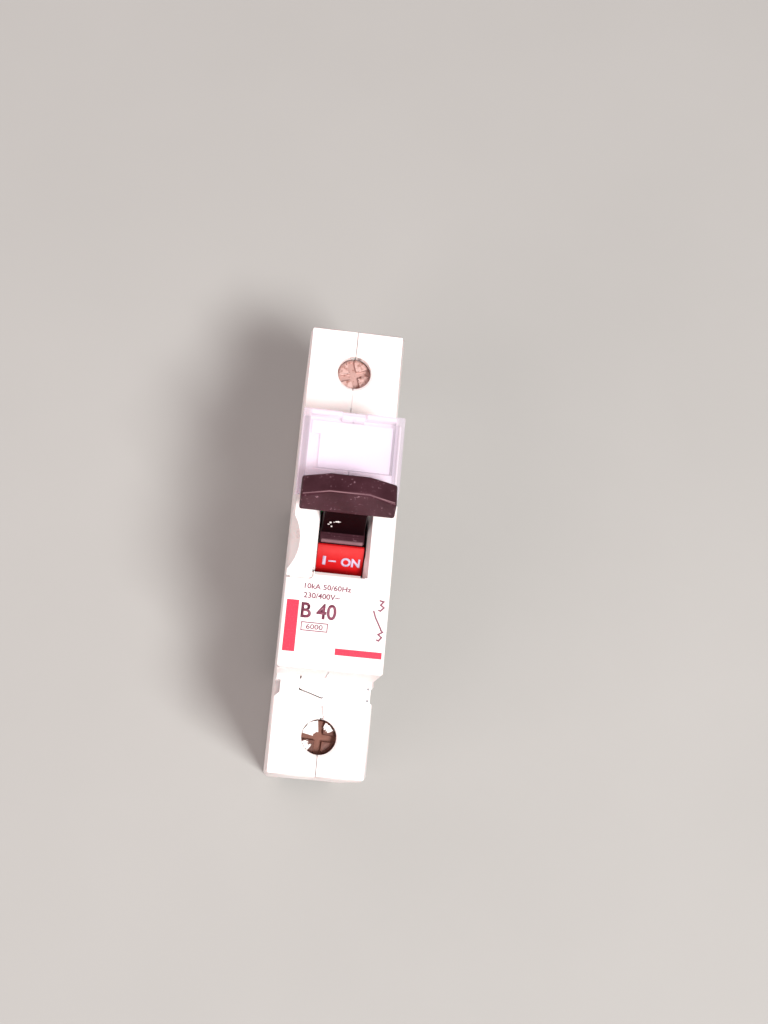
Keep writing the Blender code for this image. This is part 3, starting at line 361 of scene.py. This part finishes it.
def dress_cad_nodes():
    """Give each CAD node the finish of its slot in the record."""
    for part in frame["record"]["subparts"]:
        obj = NODES[part["node"]]
        for slot in obj.material_slots:
            slot.material = FINISHES[part["material_slot"]].material


# --- building blocks ---

def add_piece(name, bm, slot, body, finish=None):
    """A mesh built in millimetres becomes a visible piece, which rides on the body if named."""
    bmesh.ops.scale(bm, vec=(MM, MM, MM), verts=bm.verts)
    mesh = bpy.data.meshes.new(name)
    bm.to_mesh(mesh)
    bm.free()
    return add_mesh(name, mesh, slot, body, finish)


def add_mesh(name, mesh, slot, body, finish=None):
    obj = bpy.data.objects.new(name, mesh)
    bpy.context.scene.collection.objects.link(obj)
    dress(obj, finish or slot)
    if body:
        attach(obj, body)
    return obj


def smooth(obj, angle=32.0):
    obj.data.shade_smooth()
    obj.data.set_sharp_from_angle(angle=math.radians(angle))
    return obj


def rounded(obj, width, segments=2, angle=32.0):
    """Round every edge sharper than the angle, then shade it smooth."""
    smooth(obj, angle)
    bevel = obj.modifiers.new("rounded", "BEVEL")
    bevel.width = width * MM
    bevel.segments = segments
    bevel.angle_limit = math.radians(angle)
    bevel.use_clamp_overlap = False
    bevel.harden_normals = True
    return obj


def slab(outline, low, high, plane="XY"):
    """A bmesh slab: a flat outline between two heights along the plane's normal."""
    bm = bmesh.new()
    place = {"XY": lambda u, v, w: (u, v, w), "YZ": lambda u, v, w: (w, u, v)}[plane]
    rings = [[bm.verts.new(place(u, v, w)) for u, v in outline] for w in (low, high)]
    bm.faces.new(list(reversed(rings[0])))
    bm.faces.new(rings[1])
    count = len(outline)
    for i in range(count):
        j = (i + 1) % count
        bm.faces.new((rings[0][i], rings[0][j], rings[1][j], rings[1][i]))
    bmesh.ops.recalc_face_normals(bm, faces=bm.faces)
    return bm


def lathe(profile, centre, axis="Z", sides=64):
    """A bmesh of revolution: (radius, height) points turned about an axis through centre."""
    bm = bmesh.new()
    rings = []
    for radius, height in profile:
        if radius == 0:
            rings.append([bm.verts.new((0, 0, height))])
            continue
        rings.append([bm.verts.new((radius * math.cos(math.tau * i / sides),
                                    radius * math.sin(math.tau * i / sides), height))
                      for i in range(sides)])
    for first, second in zip(rings, rings[1:]):
        for i in range(sides):
            j = (i + 1) % sides
            corners = [first[i % len(first)], first[j % len(first)],
                       second[j % len(second)], second[i % len(second)]]
            unique = list(dict.fromkeys(corners))
            bm.faces.new(unique)
    bmesh.ops.recalc_face_normals(bm, faces=bm.faces)
    turn = Matrix.Rotation(math.pi / 2, 4, "Y") if axis == "X" else Matrix.Identity(4)
    bmesh.ops.transform(bm, matrix=Matrix.Translation(centre) @ turn, verts=bm.verts)
    return bm


def carve(obj, cutters):
    """Cut closed bmeshes, in millimetres, out of an object's mesh."""
    made = []
    for number, bm in enumerate(cutters):
        bmesh.ops.scale(bm, vec=(MM, MM, MM), verts=bm.verts)
        mesh = bpy.data.meshes.new("cutter")
        bm.to_mesh(mesh)
        bm.free()
        cutter = bpy.data.objects.new(f"cutter_{number}", mesh)
        bpy.context.scene.collection.objects.link(cutter)
        step = obj.modifiers.new("carve", "BOOLEAN")
        step.operation = "DIFFERENCE"
        step.object = cutter
        made.append(cutter)
    bpy.context.view_layer.update()
    shape = obj.evaluated_get(bpy.context.evaluated_depsgraph_get())
    mesh = bpy.data.meshes.new_from_object(shape)
    obj.modifiers.clear()
    old, obj.data = obj.data, mesh
    mesh.name = old.name
    bpy.data.meshes.remove(old)
    for cutter in made:
        bpy.data.objects.remove(cutter)
    return obj


def block(corner, opposite):
    x0, y0, z0 = corner
    x1, y1, z1 = opposite
    return slab([(x0, y0), (x1, y0), (x1, y1), (x0, y1)], z0, z1)


def turned_block(corner, opposite, angle, centre):
    """A block turned about the vertical through centre."""
    bm = block(corner, opposite)
    turn = Matrix.Translation(centre) @ Matrix.Rotation(angle, 4, "Z")
    bmesh.ops.transform(bm, matrix=turn, verts=bm.verts)
    return bm


def refined(name, node, slot, body, width, weight, narrow=None):
    """A CAD node's own shape with its flats merged and the chosen edges rounded.

    weight gives each convex edge, from its middle in mm, a share of the width.
    """
    bm = bmesh.new()
    bm.from_mesh(NODES[node].data)
    bmesh.ops.scale(bm, vec=(1 / MM, 1 / MM, 1 / MM), verts=bm.verts)
    bmesh.ops.remove_doubles(bm, verts=bm.verts, dist=0.0005)
    if narrow:
        narrow(bm)
    bmesh.ops.dissolve_limit(bm, angle_limit=math.radians(0.4), verts=bm.verts, edges=bm.edges)
    layer = bm.edges.layers.float.new("bevel_weight_edge")
    for edge in bm.edges:
        if len(edge.link_faces) == 2 and edge.is_convex:
            if edge.calc_face_angle() > math.radians(28):
                edge[layer] = weight((edge.verts[0].co + edge.verts[1].co) / 2)
    obj = add_piece(name, bm, slot, body)
    smooth(obj, 30)
    bevel = obj.modifiers.new("rounded", "BEVEL")
    bevel.limit_method = "WEIGHT"
    bevel.width = width * MM
    bevel.segments = 3
    bevel.use_clamp_overlap = False
    flat = obj.modifiers.new("flat faces", "WEIGHTED_NORMAL")
    flat.keep_sharp = True
    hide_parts(node)
    return obj


# --- housing ---

def close_seam(bm):
    """Bring a half's mating faces nearer the middle plane, where the halves meet."""
    for vert in bm.verts:
        x, y, z = vert.co
        if 0.1 < abs(x) < 0.2:
            vert.co.x = math.copysign(0.08, x)


def grow_tongue(bm):
    """Close the seam, and the gap beside the tongue that laps over the lower shoulder."""
    close_seam(bm)
    for vert in bm.verts:
        x, y, z = vert.co
        if x < -0.25 and -26.5 < y < -22.6 and z > 40:
            vert.co.x -= 0.08
            vert.co.y -= 0.08


def housing_weight(middle):
    """How much of the full rounding an edge of the housing gets, by where its middle is."""
    x, y, z = middle
    end = y > TOP_Y - 0.05 or y < BOTTOM_Y + 0.05
    side, back, face = abs(x) > HALF_WIDTH - 0.03, z < BACK_Z + 0.05, z > FRONT_Z - 0.05
    shoulder = abs(z - SHOULDER_Z) < 0.03 and abs(y) > NOSE_Y - 0.1
    inside = not (end or side or back or face or shoulder or abs(z - RIM_Z) < 0.05)
    if inside:
        return 0.0
    if shoulder and abs(x) < 8.6 and not end:
        rim = math.hypot(x, y - (LINE_Y if y > 0 else LOAD_Y)) < WELL_RIM
        tongue_tip = abs(x) < 0.8 and -30.4 < y < -26.8
        return 0.8 if rim and not tongue_tip else 0.0
    seam = abs(x) < 0.1
    side_dish = x < -4.5 and math.hypot(y - DISH_Y, z - DISH_Z) < DISH_RIM
    panel_step = face and -8.6 < y < -5.8 and x < -3.8
    wire_entry = end and abs(x) < 4.3 and 14 < z < 25
    cover_recess = face and y > 6.7 and abs(x) < 8.7
    rail_channel = side and -19.0 < y < 21.0 and z < 0.5
    toggle_slot = face and abs(x) < SLOT_X and abs(y) < SLOT_Y
    rivet_pocket = side and any(math.hypot(y - rivet_y, z - rivet_z) < RIVET_POCKET
                                for rivet_y, rivet_z in RIVETS)
    for here, weight in ((seam, 0.1), (side_dish, 0.0), (panel_step, 0.0 if x > -6.0 else 0.15),
                         (wire_entry, 1.3), (cover_recess, 0.0), (rail_channel, 0.15),
                         (toggle_slot, 0.7 if x < 4.2 else 0.0), (rivet_pocket, 0.4)):
        if here:
            return weight
    return 1.0


def lap(name, bm, rounding=0.1):
    """A small white piece of the housing at its seam."""
    rounded(add_piece(name, bm, "white_plastic", "housing"), rounding)


def seam_ribs():
    """Lap ribs just under the surface, which stop light at the seam between the halves."""
    shoulders = {"upper": (NOSE_Y + 0.2, LINE_Y, TOP_Y - 0.9), "lower": (-39.1, LOAD_Y, -26.0)}
    well, low_z, high_z = 3.4, SHOULDER_Z - 1.3, SHOULDER_Z - 0.55
    for name, (low_y, well_y, high_y) in shoulders.items():
        lap(f"seam_rib_shoulder_{name}_a", block((-0.5, low_y, low_z), (0.5, well_y - well, high_z)))
        lap(f"seam_rib_shoulder_{name}_b", block((-0.5, well_y + well, low_z), (0.5, high_y, high_z)))
    lap("seam_rib_panel",
        slab([(-8.3, -7.9), (-4.0, -7.9), (-4.0, -6.2), (-5.1, -6.2), (-5.1, -6.9), (-8.3, -6.9)],
             FRONT_Z - 1.4, FRONT_Z - 0.5))
    lap("seam_rib_tongue",
        slab([(-4.7, -23.0), (-3.9, -23.0), (-3.9, -24.9), (-0.2, -26.2), (-0.2, -25.5),
              (-4.7, -24.3)], SHOULDER_Z - 1.3, SHOULDER_Z - 0.2))
    fills = {"lower": (-27.3, -25.95, SHOULDER_Z, 0.01), "upper": (28.0, 31.4, SHOULDER_Z, 0.16),
             "nail_tab": (21.15, 22.4, RIM_Z, 0.01)}
    for name, (low_y, high_y, face_z, depth) in fills.items():
        lap(f"seam_fill_{name}",
            block((-0.12, low_y, face_z - 1.5), (0.12, high_y, face_z - depth)), 0.02)
    for end, y in (("upper", TOP_Y), ("lower", BOTTOM_Y)):
        inward = math.copysign(1, y)
        low_y, high_y = sorted((y - inward * 0.5, y - inward * 1.2))
        lap(f"seam_rib_end_{end}", block((-0.5, low_y, 25.0), (0.5, high_y, SHOULDER_Z - 0.6)))


def housing():
    halves = (("right_half", "housing_right", grow_tongue),
              ("left_half", "housing_left", close_seam))
    for name, node, narrow in halves:
        refined(name, node, "white_plastic", "housing", 0.38, housing_weight, narrow)
    seam_ribs()
    for number, y in enumerate((-23.7, -25.8), 1):
        pin = lathe([(0, 0), (0.17, 0), (0.22, 0.04), (0.22, 0.08), (0, 0.08)],
                    (7.9, y, SHOULDER_Z - 0.05), sides=20)
        smooth(add_piece(f"vent_pin_{number}", pin, "lever_plastic", "housing"))


def rivets():
    """Tubular rivets with rolled heads."""
    seat, top = 8.25, 8.75
    head = [(0, top - 0.9), (0.55, top - 0.9), (0.70, top - 0.75), (0.78, top - 0.2),
            (0.95, top - 0.03), (1.25, top), (1.75, top - 0.06), (2.02, top - 0.2),
            (RIVET_HEAD, top - 0.38), (RIVET_HEAD, seat), (RIVET_RADIUS, seat)]
    profile = head + [(radius, -height) for radius, height in reversed(head)]
    for number, (y, z) in enumerate(RIVETS, 1):
        bm = lathe(profile, (0, y, z), "X", 48)
        obj = smooth(add_piece(f"tubular_rivet_{number}", bm, "zinc_plated_steel", "housing"))
        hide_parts(f"rivet_{number}")


# --- print on the front ---

def letters(words, bold):
    """The words as a flat bmesh about its own middle, with its width and height."""
    curve = bpy.data.curves.new("letters", "FONT")
    curve.body = words
    curve.offset = bold
    curve.resolution_u = 4
    source = bpy.data.objects.new("letters", curve)
    bpy.context.scene.collection.objects.link(source)
    bpy.context.view_layer.update()
    mesh = bpy.data.meshes.new_from_object(
        source.evaluated_get(bpy.context.evaluated_depsgraph_get()))
    bpy.data.objects.remove(source)
    bm = bmesh.new()
    bm.from_mesh(mesh)
    bpy.data.meshes.remove(mesh)
    bmesh.ops.remove_doubles(bm, verts=bm.verts, dist=0.0005)
    low = Vector([min(v.co[i] for v in bm.verts) for i in range(3)])
    high = Vector([max(v.co[i] for v in bm.verts) for i in range(3)])
    bmesh.ops.translate(bm, vec=-(low + high) / 2, verts=bm.verts)
    return bm, high - low


def fitted_letters(words, width, height, bold=0.0):
    bm, size = letters(words, bold)
    bmesh.ops.scale(bm, vec=(width / size.x, height / size.y, 1), verts=bm.verts)
    return bm


def thicken(bm, thickness):
    """Give flat print a real thickness, so that it is a closed body."""
    faces = list(bm.faces)
    for face in faces:
        if face.normal.z < 0:
            face.normal_flip()
    made = bmesh.ops.extrude_face_region(bm, geom=faces)
    verts = [item for item in made["geom"] if isinstance(item, bmesh.types.BMVert)]
    bmesh.ops.translate(bm, vec=(0, 0, thickness), verts=verts)
    bmesh.ops.recalc_face_normals(bm, faces=bm.faces)


def printed(name, words, left, right, low, high, finish, bold=0.0, surface=FRONT_Z):
    """Words printed on the front, filling a rectangle."""
    bm = fitted_letters(words, right - left, high - low, bold)
    thicken(bm, 0.02)
    bmesh.ops.translate(bm, vec=((left + right) / 2, (low + high) / 2, surface), verts=bm.verts)
    return add_piece(name, bm, "white_plastic", "housing", finish)


def stroke(name, points, width, finish, closed=False, surface=FRONT_Z):
    """A printed line of even width through points, mitred at each corner."""
    count = len(points)
    sides = ([], [])
    for i, point in enumerate(points):
        before = points[i - 1] if i or closed else None
        after = points[(i + 1) % count] if i < count - 1 or closed else None
        here = Vector(point)
        along = [(Vector(b) - Vector(a)).normalized()
                 for a, b in ((before, point), (point, after)) if a and b]
        normals = [Vector((-d.y, d.x)) for d in along]
        mitre = sum(normals, Vector((0, 0))).normalized()
        reach = width / 2 / max(0.4, mitre.dot(normals[0]))
        for side, sign in zip(sides, (1, -1)):
            side.append(here + mitre * reach * sign)
    bm = bmesh.new()
    rings = [[bm.verts.new((p.x, p.y, 0)) for p in side] for side in sides]
    for i in range(count if closed else count - 1):
        j = (i + 1) % count
        bm.faces.new((rings[0][i], rings[0][j], rings[1][j], rings[1][i]))
    bmesh.ops.recalc_face_normals(bm, faces=bm.faces)
    thicken(bm, 0.02)
    bmesh.ops.translate(bm, vec=(0, 0, surface), verts=bm.verts)
    return add_piece(name, bm, "white_plastic", "housing", finish)


def bar_print(name, left, right, low, high):
    bm = block((left, low, FRONT_Z - 0.01), (right, high, FRONT_Z + 0.02))
    return add_piece(name, bm, "white_plastic", "housing", "red_ink")


def front_print():
    """Ratings, colour bars and the breaker's circuit symbol."""
    printed("print_capacity", "10kA 50/60Hz", -5.6, 2.3, -9.15, -8.25, "dark_ink", 0.018)
    printed("print_voltage", "230/400V~", -5.6, 0.5, -10.75, -9.8, "dark_ink", 0.018)
    printed("print_rating", "B 40", -5.8, 0.15, -14.15, -11.5, "dark_ink", 0.022)
    printed("print_class", "6000", -4.7, -1.9, -15.95, -15.1, "dark_ink", 0.01)
    stroke("print_class_frame", [(-5.5, -16.2), (-1.15, -16.2), (-1.15, -14.85), (-5.5, -14.85)],
           0.16, "dark_ink", closed=True)
    bar_print("print_bar", 0.5, 8.35, -19.85, -18.75)
    bar_print("print_strip", -8.3, -6.25, -19.9, -11.25)
    hook = [(7.2, -10.0), (7.95, -10.15), (7.45, -10.75), (8.05, -11.15), (7.5, -11.75),
            (7.1, -11.65)]
    blade = [(6.35, -11.8), (6.75, -12.9), (7.85, -14.9)]
    trip = [(7.75, -14.9), (8.15, -15.3), (7.45, -15.75), (8.05, -16.2), (7.6, -16.8),
            (7.2, -16.65)]
    for name, points in (("hook", hook), ("blade", blade), ("trip", trip)):
        stroke(f"print_symbol_{name}", points, 0.26, "dark_ink")


# --- toggle ---

def polar(radius, angle):
    """A point about the toggle's axis, at an angle from +Z towards -Y, as (y, z)."""
    return (-radius * math.sin(angle), TOGGLE_Z + radius * math.cos(angle))


def flag(name, node, side, slot):
    """A curved indicator plate with a broad bevel at its black end."""
    near, far = side * FLAG_NEAR - TOGGLE_LEAN, side * FLAG_FAR - TOGGLE_LEAN
    steps = 30
    angles = [near + (far - near) * i / steps for i in range(steps + 1)]
    outer = [polar(FLAG_OUTER, a) for a in angles[1:]]
    outer.insert(0, polar(FLAG_OUTER - 0.22, near))
    outer.insert(1, polar(FLAG_OUTER, near + side * 0.055))
    inner = [polar(FLAG_INNER, a) for a in reversed(angles)]
    bm = slab(outer + inner, -FLAG_X, FLAG_X, "YZ")
    obj = rounded(add_piece(name, bm, slot, "toggle"), 0.07)
    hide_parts(node)


def flag_letters(name, words, left, right, height, side, slot, bold=0.02):
    """Words that follow the curve of a flag, upright when the flag shows in the slot."""
    middle = side * math.radians(53.5) - TOGGLE_LEAN
    bm = fitted_letters(words, right - left, height, bold)
    steps = 8
    for i in range(1, steps):
        cut = Vector((0, -height / 2 + height * i / steps, 0))
        bmesh.ops.bisect_plane(bm, geom=bm.verts[:] + bm.edges[:] + bm.faces[:], plane_co=cut,
                               plane_no=(0, 1, 0))
    thicken(bm, 0.05)
    for vert in bm.verts:
        angle = middle - vert.co.y / FLAG_OUTER
        y, z = polar(FLAG_OUTER - 0.01 + vert.co.z, angle)
        vert.co = Vector((vert.co.x + (left + right) / 2, y, z))
    add_piece(name, bm, slot, "toggle", "pale_ink")


def toggle_weight(middle):
    """Full rounding on the bar, less on the neck and the drum."""
    return 1.0 if middle.z > 62 else 0.5


def on_neck(x, y, z):
    """A point in the toggle's own axes, z up its leaning neck, as a place on the breaker."""
    turned = Matrix.Rotation(-TOGGLE_LEAN, 3, "X") @ Vector((x, y, z))
    return turned + Vector((0, 0, TOGGLE_Z))


def tube(points, radius):
    """A round bead through points, as a closed bmesh."""
    curve = bpy.data.curves.new("tube", "CURVE")
    curve.dimensions = "3D"
    curve.bevel_depth = radius
    curve.bevel_resolution = 3
    curve.use_fill_caps = True
    line = curve.splines.new("POLY")
    line.points.add(len(points) - 1)
    for spot, point in zip(line.points, points):
        spot.co = (*point, 1.0)
    source = bpy.data.objects.new("tube", curve)
    bpy.context.scene.collection.objects.link(source)
    bpy.context.view_layer.update()
    mesh = bpy.data.meshes.new_from_object(
        source.evaluated_get(bpy.context.evaluated_depsgraph_get()))
    bpy.data.objects.remove(source)
    bm = bmesh.new()
    bm.from_mesh(mesh)
    bpy.data.meshes.remove(mesh)
    bmesh.ops.remove_doubles(bm, verts=bm.verts, dist=0.0005)
    bmesh.ops.recalc_face_normals(bm, faces=bm.faces)
    return bm


def toggle():
    refined("toggle_bar", "handle", "aubergine_plastic", "toggle", 0.4, toggle_weight)
    flag("flag_on", "on_flag", 1, "red_plastic")
    flag("flag_off", "off_flag", -1, "green_plastic")
    flag_letters("flag_on_stroke", "I", -2.95, -2.4, 1.6, 1, "red_plastic", 0.04)
    flag_letters("flag_on_dash", "-", -1.95, -0.65, 0.26, 1, "red_plastic")
    flag_letters("flag_on_word", "ON", 0.2, 3.5, 1.6, 1, "red_plastic", 0.04)
    flag_letters("flag_off_ring", "O", -3.5, -2.2, 1.75, -1, "green_plastic", 0.03)
    flag_letters("flag_off_dash", "-", -1.8, -0.9, 0.28, -1, "green_plastic")
    flag_letters("flag_off_word", "OFF", -0.5, 3.5, 1.75, -1, "green_plastic", 0.03)
    # The crest bead's lighter finish is partly wear and partly a painted highlight along the bar's
    # crest.
    crest = [on_neck(x, -1.72, z) for x, z in ((-7.6, 17.7), (-3.3, 19.25), (3.3, 19.25),
                                               (7.6, 17.7))]
    smooth(add_piece("bar_crest_wear_and_highlight", tube(crest, 0.17), "aubergine_plastic", "toggle",
                     "aubergine_wear_and_highlight"))
    # The end ribs at 24.6 degrees use the lighter finish: worn edges with a painted highlight at the
    # drum's ends.
    ribs = ((24.6, 0.34, "aubergine_wear_and_highlight"), (17.0, 0.10, "aubergine_plastic"),
            (13.2, 0.10, "aubergine_plastic"), (-13.2, 0.10, "aubergine_plastic"),
            (-17.0, 0.10, "aubergine_plastic"), (-24.6, 0.34, "aubergine_wear_and_highlight"))
    for number, (degrees, radius, finish) in enumerate(ribs, 1):
        y, z = polar(DRUM_RADIUS - radius * 0.4, math.radians(degrees) - TOGGLE_LEAN)
        bead = tube([(-DRUM_X + 0.45, y, z), (DRUM_X - 0.45, y, z)], radius)
        smooth(add_piece(f"drum_rib_{number}", bead, "aubergine_plastic", "toggle", finish))


def flecks():
    """Dried splashes of white paint on the lower side of the neck."""
    spots = ((-1.15, 10.35, 0.42, 0.20), (-2.35, 9.95, 0.18, 0.24), (-2.65, 9.4, 0.16, 0.12),
             (-2.1, 8.8, 0.13, 0.20), (-1.75, 10.15, 0.12, 0.09))
    for number, (x, z, half_x, half_z) in enumerate(spots, 1):
        bm = bmesh.new()
        bmesh.ops.create_icosphere(bm, subdivisions=3, radius=1.0)
        for vert in bm.verts:
            ragged = 1.0 + 0.35 * math.sin(5 * math.atan2(vert.co.y, vert.co.x) + number)
            ragged *= draw.uniform(0.92, 1.08)
            vert.co = on_neck(x + vert.co.x * half_x * ragged,
                              -NECK_HALF_THICK - vert.co.z * 0.05,
                              z + vert.co.y * half_z * ragged)
        smooth(add_piece(f"paint_fleck_{number}", bm, "aubergine_plastic", "toggle", "paint"))


# --- terminal screws ---

def screw(name, piece):
    """A worn combination head: a full slot, a cross recess and a dished middle."""
    y, angle = SCREWS[name]
    top, rim = HEAD_TOP_Z, HEAD_RADIUS
    head = [(0, top - 0.02), (1.2, top), (rim - 0.75, top - 0.03), (rim - 0.3, top - 0.12),
            (rim - 0.08, top - 0.32), (rim, top - 0.6), (rim, HEAD_LOW_Z + 0.15),
            (rim - 0.15, HEAD_LOW_Z), (SHANK_RADIUS, HEAD_LOW_Z)]
    z = HEAD_LOW_Z - 0.3
    thread = []
    while z - THREAD_PITCH > SHANK_LOW_Z + 0.2:
        thread += [(SHANK_RADIUS - 0.4, z), (SHANK_RADIUS - 0.4, z - 0.1),
                   (SHANK_RADIUS, z - 0.45), (SHANK_RADIUS, z - 0.55)]
        z -= THREAD_PITCH
    tip = [(SHANK_RADIUS - 0.6, SHANK_LOW_Z + 0.15), (SHANK_RADIUS - 0.8, SHANK_LOW_Z),
           (0, SHANK_LOW_Z)]
    bm = lathe(head + thread + tip, (0, y, 0), sides=56)
    obj = add_piece(piece, bm, "nickel_bronze", name, name)
    centre = (0, y, 0)
    cuts = [turned_block((-4, -0.6, top - 0.75), (4, 0.6, top + 1), angle, centre),
            turned_block((-0.62, -2.9, top - 0.75), (0.62, 2.9, top + 1), angle, centre)]
    carve(obj, cuts)
    rounded(obj, 0.11, 2, 40)
    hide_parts(name)


def paint_patches():
    """White wall paint left on three of the lower screw head's quarters."""
    centre_y, turn = SCREWS["load_screw"]
    quarters = ((100, 172, 0.95, 3.12), (200, 236, 1.9, 3.1), (32, 72, 1.75, 2.95))
    for number, (start, stop, inner, outer) in enumerate(quarters, 1):
        steps = 14
        sweep = [math.radians(start + (stop - start) * i / steps) + turn for i in range(steps + 1)]
        far = [(outer * draw.uniform(0.94, 1.0), angle) for angle in sweep]
        near = [(inner * draw.uniform(0.9, 1.25), angle) for angle in reversed(sweep)]
        outline = [(r * math.cos(a), centre_y + r * math.sin(a)) for r, a in far + near]
        bm = slab(outline, HEAD_TOP_Z - 0.25, HEAD_TOP_Z + 0.03)
        rounded(add_piece(f"paint_patch_{number}", bm, "nickel_bronze", "load_screw", "paint"),
                0.03)


# --- label cover, card and rail clip ---

def cover():
    obj = refined("clear_cover", "label_cover", "violet_clear_plastic", "cover", 0.16,
                  lambda middle: 1.0)
    obj.modifiers["rounded"].segments = 2
    refined("label_card_insert", "label_card", "label_card", "housing", 0.08,
            lambda middle: 1.0)


def clip():
    refined("rail_clip", "din_clip", "clip_plastic", "clip", 0.2, lambda middle: 1.0)


# --- springs and braid inside ---

def coil(start, radius, turns, pitch, steps=24):
    """Points of a coil along +Y."""
    x, y, z = start
    count = turns * steps
    return [(x + radius * math.sin(math.tau * i / steps), y + pitch * i / steps,
             z - radius * math.cos(math.tau * i / steps)) for i in range(count + 1)]


def springs():
    """The two springs that are pressed together when their part slides."""
    plunger = add_piece("plunger_return_spring", tube(coil((0, 16.8, 33.0), 1.6, 3, 0.55), 0.18),
                        "spring_steel", "housing")
    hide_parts("plunger_spring")
    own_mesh(plunger)
    clip_spring = add_piece("clip_return_spring", tube(coil((0, -31.6, -3.2), 1.0, 5, 1.3), 0.2),
                            "spring_steel", "housing")
    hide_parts("din_clip_spring")
    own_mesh(clip_spring)


def braid():
    """Three twisted copper strands from the bimetal to the contact arm."""
    route = [Vector(point) for point in (
        (0, -17.9, 40.0), (-0.4, -16.6, 39.4), (-1.3, -15.0, 37.6), (-2.1, -13.4, 35.3),
        (-2.5, -11.8, 33.0), (-2.4, -10.0, 31.1), (-2.0, -8.0, 29.9), (-1.4, -6.0, 29.4),
        (-0.7, -4.2, 29.3), (-0.2, -2.8, 29.4), (0, -1.7, 29.5))]
    fine, twist, strand_radius = 8, 1.1, 0.36
    across = Vector((1, 0, 0))
    for strand in range(3):
        points = []
        for i, (first, second) in enumerate(zip(route, route[1:])):
            along = (second - first).normalized()
            side = (across - along * across.dot(along)).normalized()
            for step in range(fine):
                angle = twist * (i + step / fine) + math.tau * strand / 3
                offset = side * math.cos(angle) + along.cross(side) * math.sin(angle)
                points.append(first.lerp(second, step / fine) + offset * strand_radius)
        piece = add_piece(f"braid_strand_{strand + 1}", tube(points, 0.38), "copper", None)
        smooth(piece)
        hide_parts("flexible_braid")
        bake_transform(piece)


# --- stage, lights and camera ---

def stage():
    """A pale floor under the breaker's back."""
    bm = bmesh.new()
    bmesh.ops.create_grid(bm, x_segments=1, y_segments=1, size=3000.0)
    bmesh.ops.scale(bm, vec=(MM, MM, MM), verts=bm.verts)
    mesh = bpy.data.meshes.new("floor")
    bm.to_mesh(mesh)
    bm.free()
    floor = bpy.data.objects.new("floor", mesh)
    bpy.context.scene.collection.objects.link(floor)
    floor.location.z = BACK_Z * MM
    pale = Finish("pale_floor")
    pale.colour(pale.blend(pale.noise(60.0), (0.36, 0.36, 0.345), (0.39, 0.39, 0.375)))
    pale.shader.inputs["Roughness"].default_value = 0.8
    mesh.materials.append(pale.material)


def soft_light(name, place, size, power, colour, mirrored=True):
    """A square lamp that faces the breaker; glossy faces show it only if mirrored."""
    data = bpy.data.lights.new(name, "AREA")
    data.size = size
    data.energy = power
    data.color = colour
    lamp = bpy.data.objects.new(name, data)
    bpy.context.scene.collection.objects.link(lamp)
    lamp.location = place
    lamp.visible_glossy = mirrored
    aim = Vector((0, 0, 0.03)) - lamp.location
    lamp.rotation_euler = aim.to_track_quat("-Z", "Y").to_euler()


def lights():
    soft_light("key", (0.34, -0.34, 0.95), 0.26, 12.0, (1.0, 0.99, 0.975))
    soft_light("fill", (-0.60, -0.50, 0.70), 0.60, 3.4, (1.0, 0.88, 0.88), mirrored=False)
    soft_light("rim", (-0.45, 0.60, 0.55), 1.0, 2.4, (1.0, 0.90, 0.90), mirrored=False)
    world = bpy.data.worlds.new("studio")
    bpy.context.scene.world = world
    world.use_nodes = True
    back = world.node_tree.nodes["Background"]
    back.inputs["Color"].default_value = (1.0, 0.86, 0.86, 1.0)
    back.inputs["Strength"].default_value = 0.46
    bpy.context.scene.view_settings.view_transform = "Standard"


def camera():
    data = bpy.data.cameras.new("camera")
    data.sensor_width = CAMERA_SENSOR
    data.lens = CAMERA_LENS
    data.clip_start = 0.01
    made = bpy.data.objects.new("camera", data)
    bpy.context.scene.collection.objects.link(made)
    made.location = Vector(CAMERA_PLACE) * MM
    made.rotation_euler = [math.radians(angle) for angle in CAMERA_TURN]
    bpy.context.scene.camera = made


dress_cad_nodes()
housing()
rivets()
front_print()
toggle()
flecks()
screw("line_screw", "line_screw_worn")
screw("load_screw", "load_screw_worn")
paint_patches()
cover()
clip()
springs()
braid()
stage()
lights()
camera()
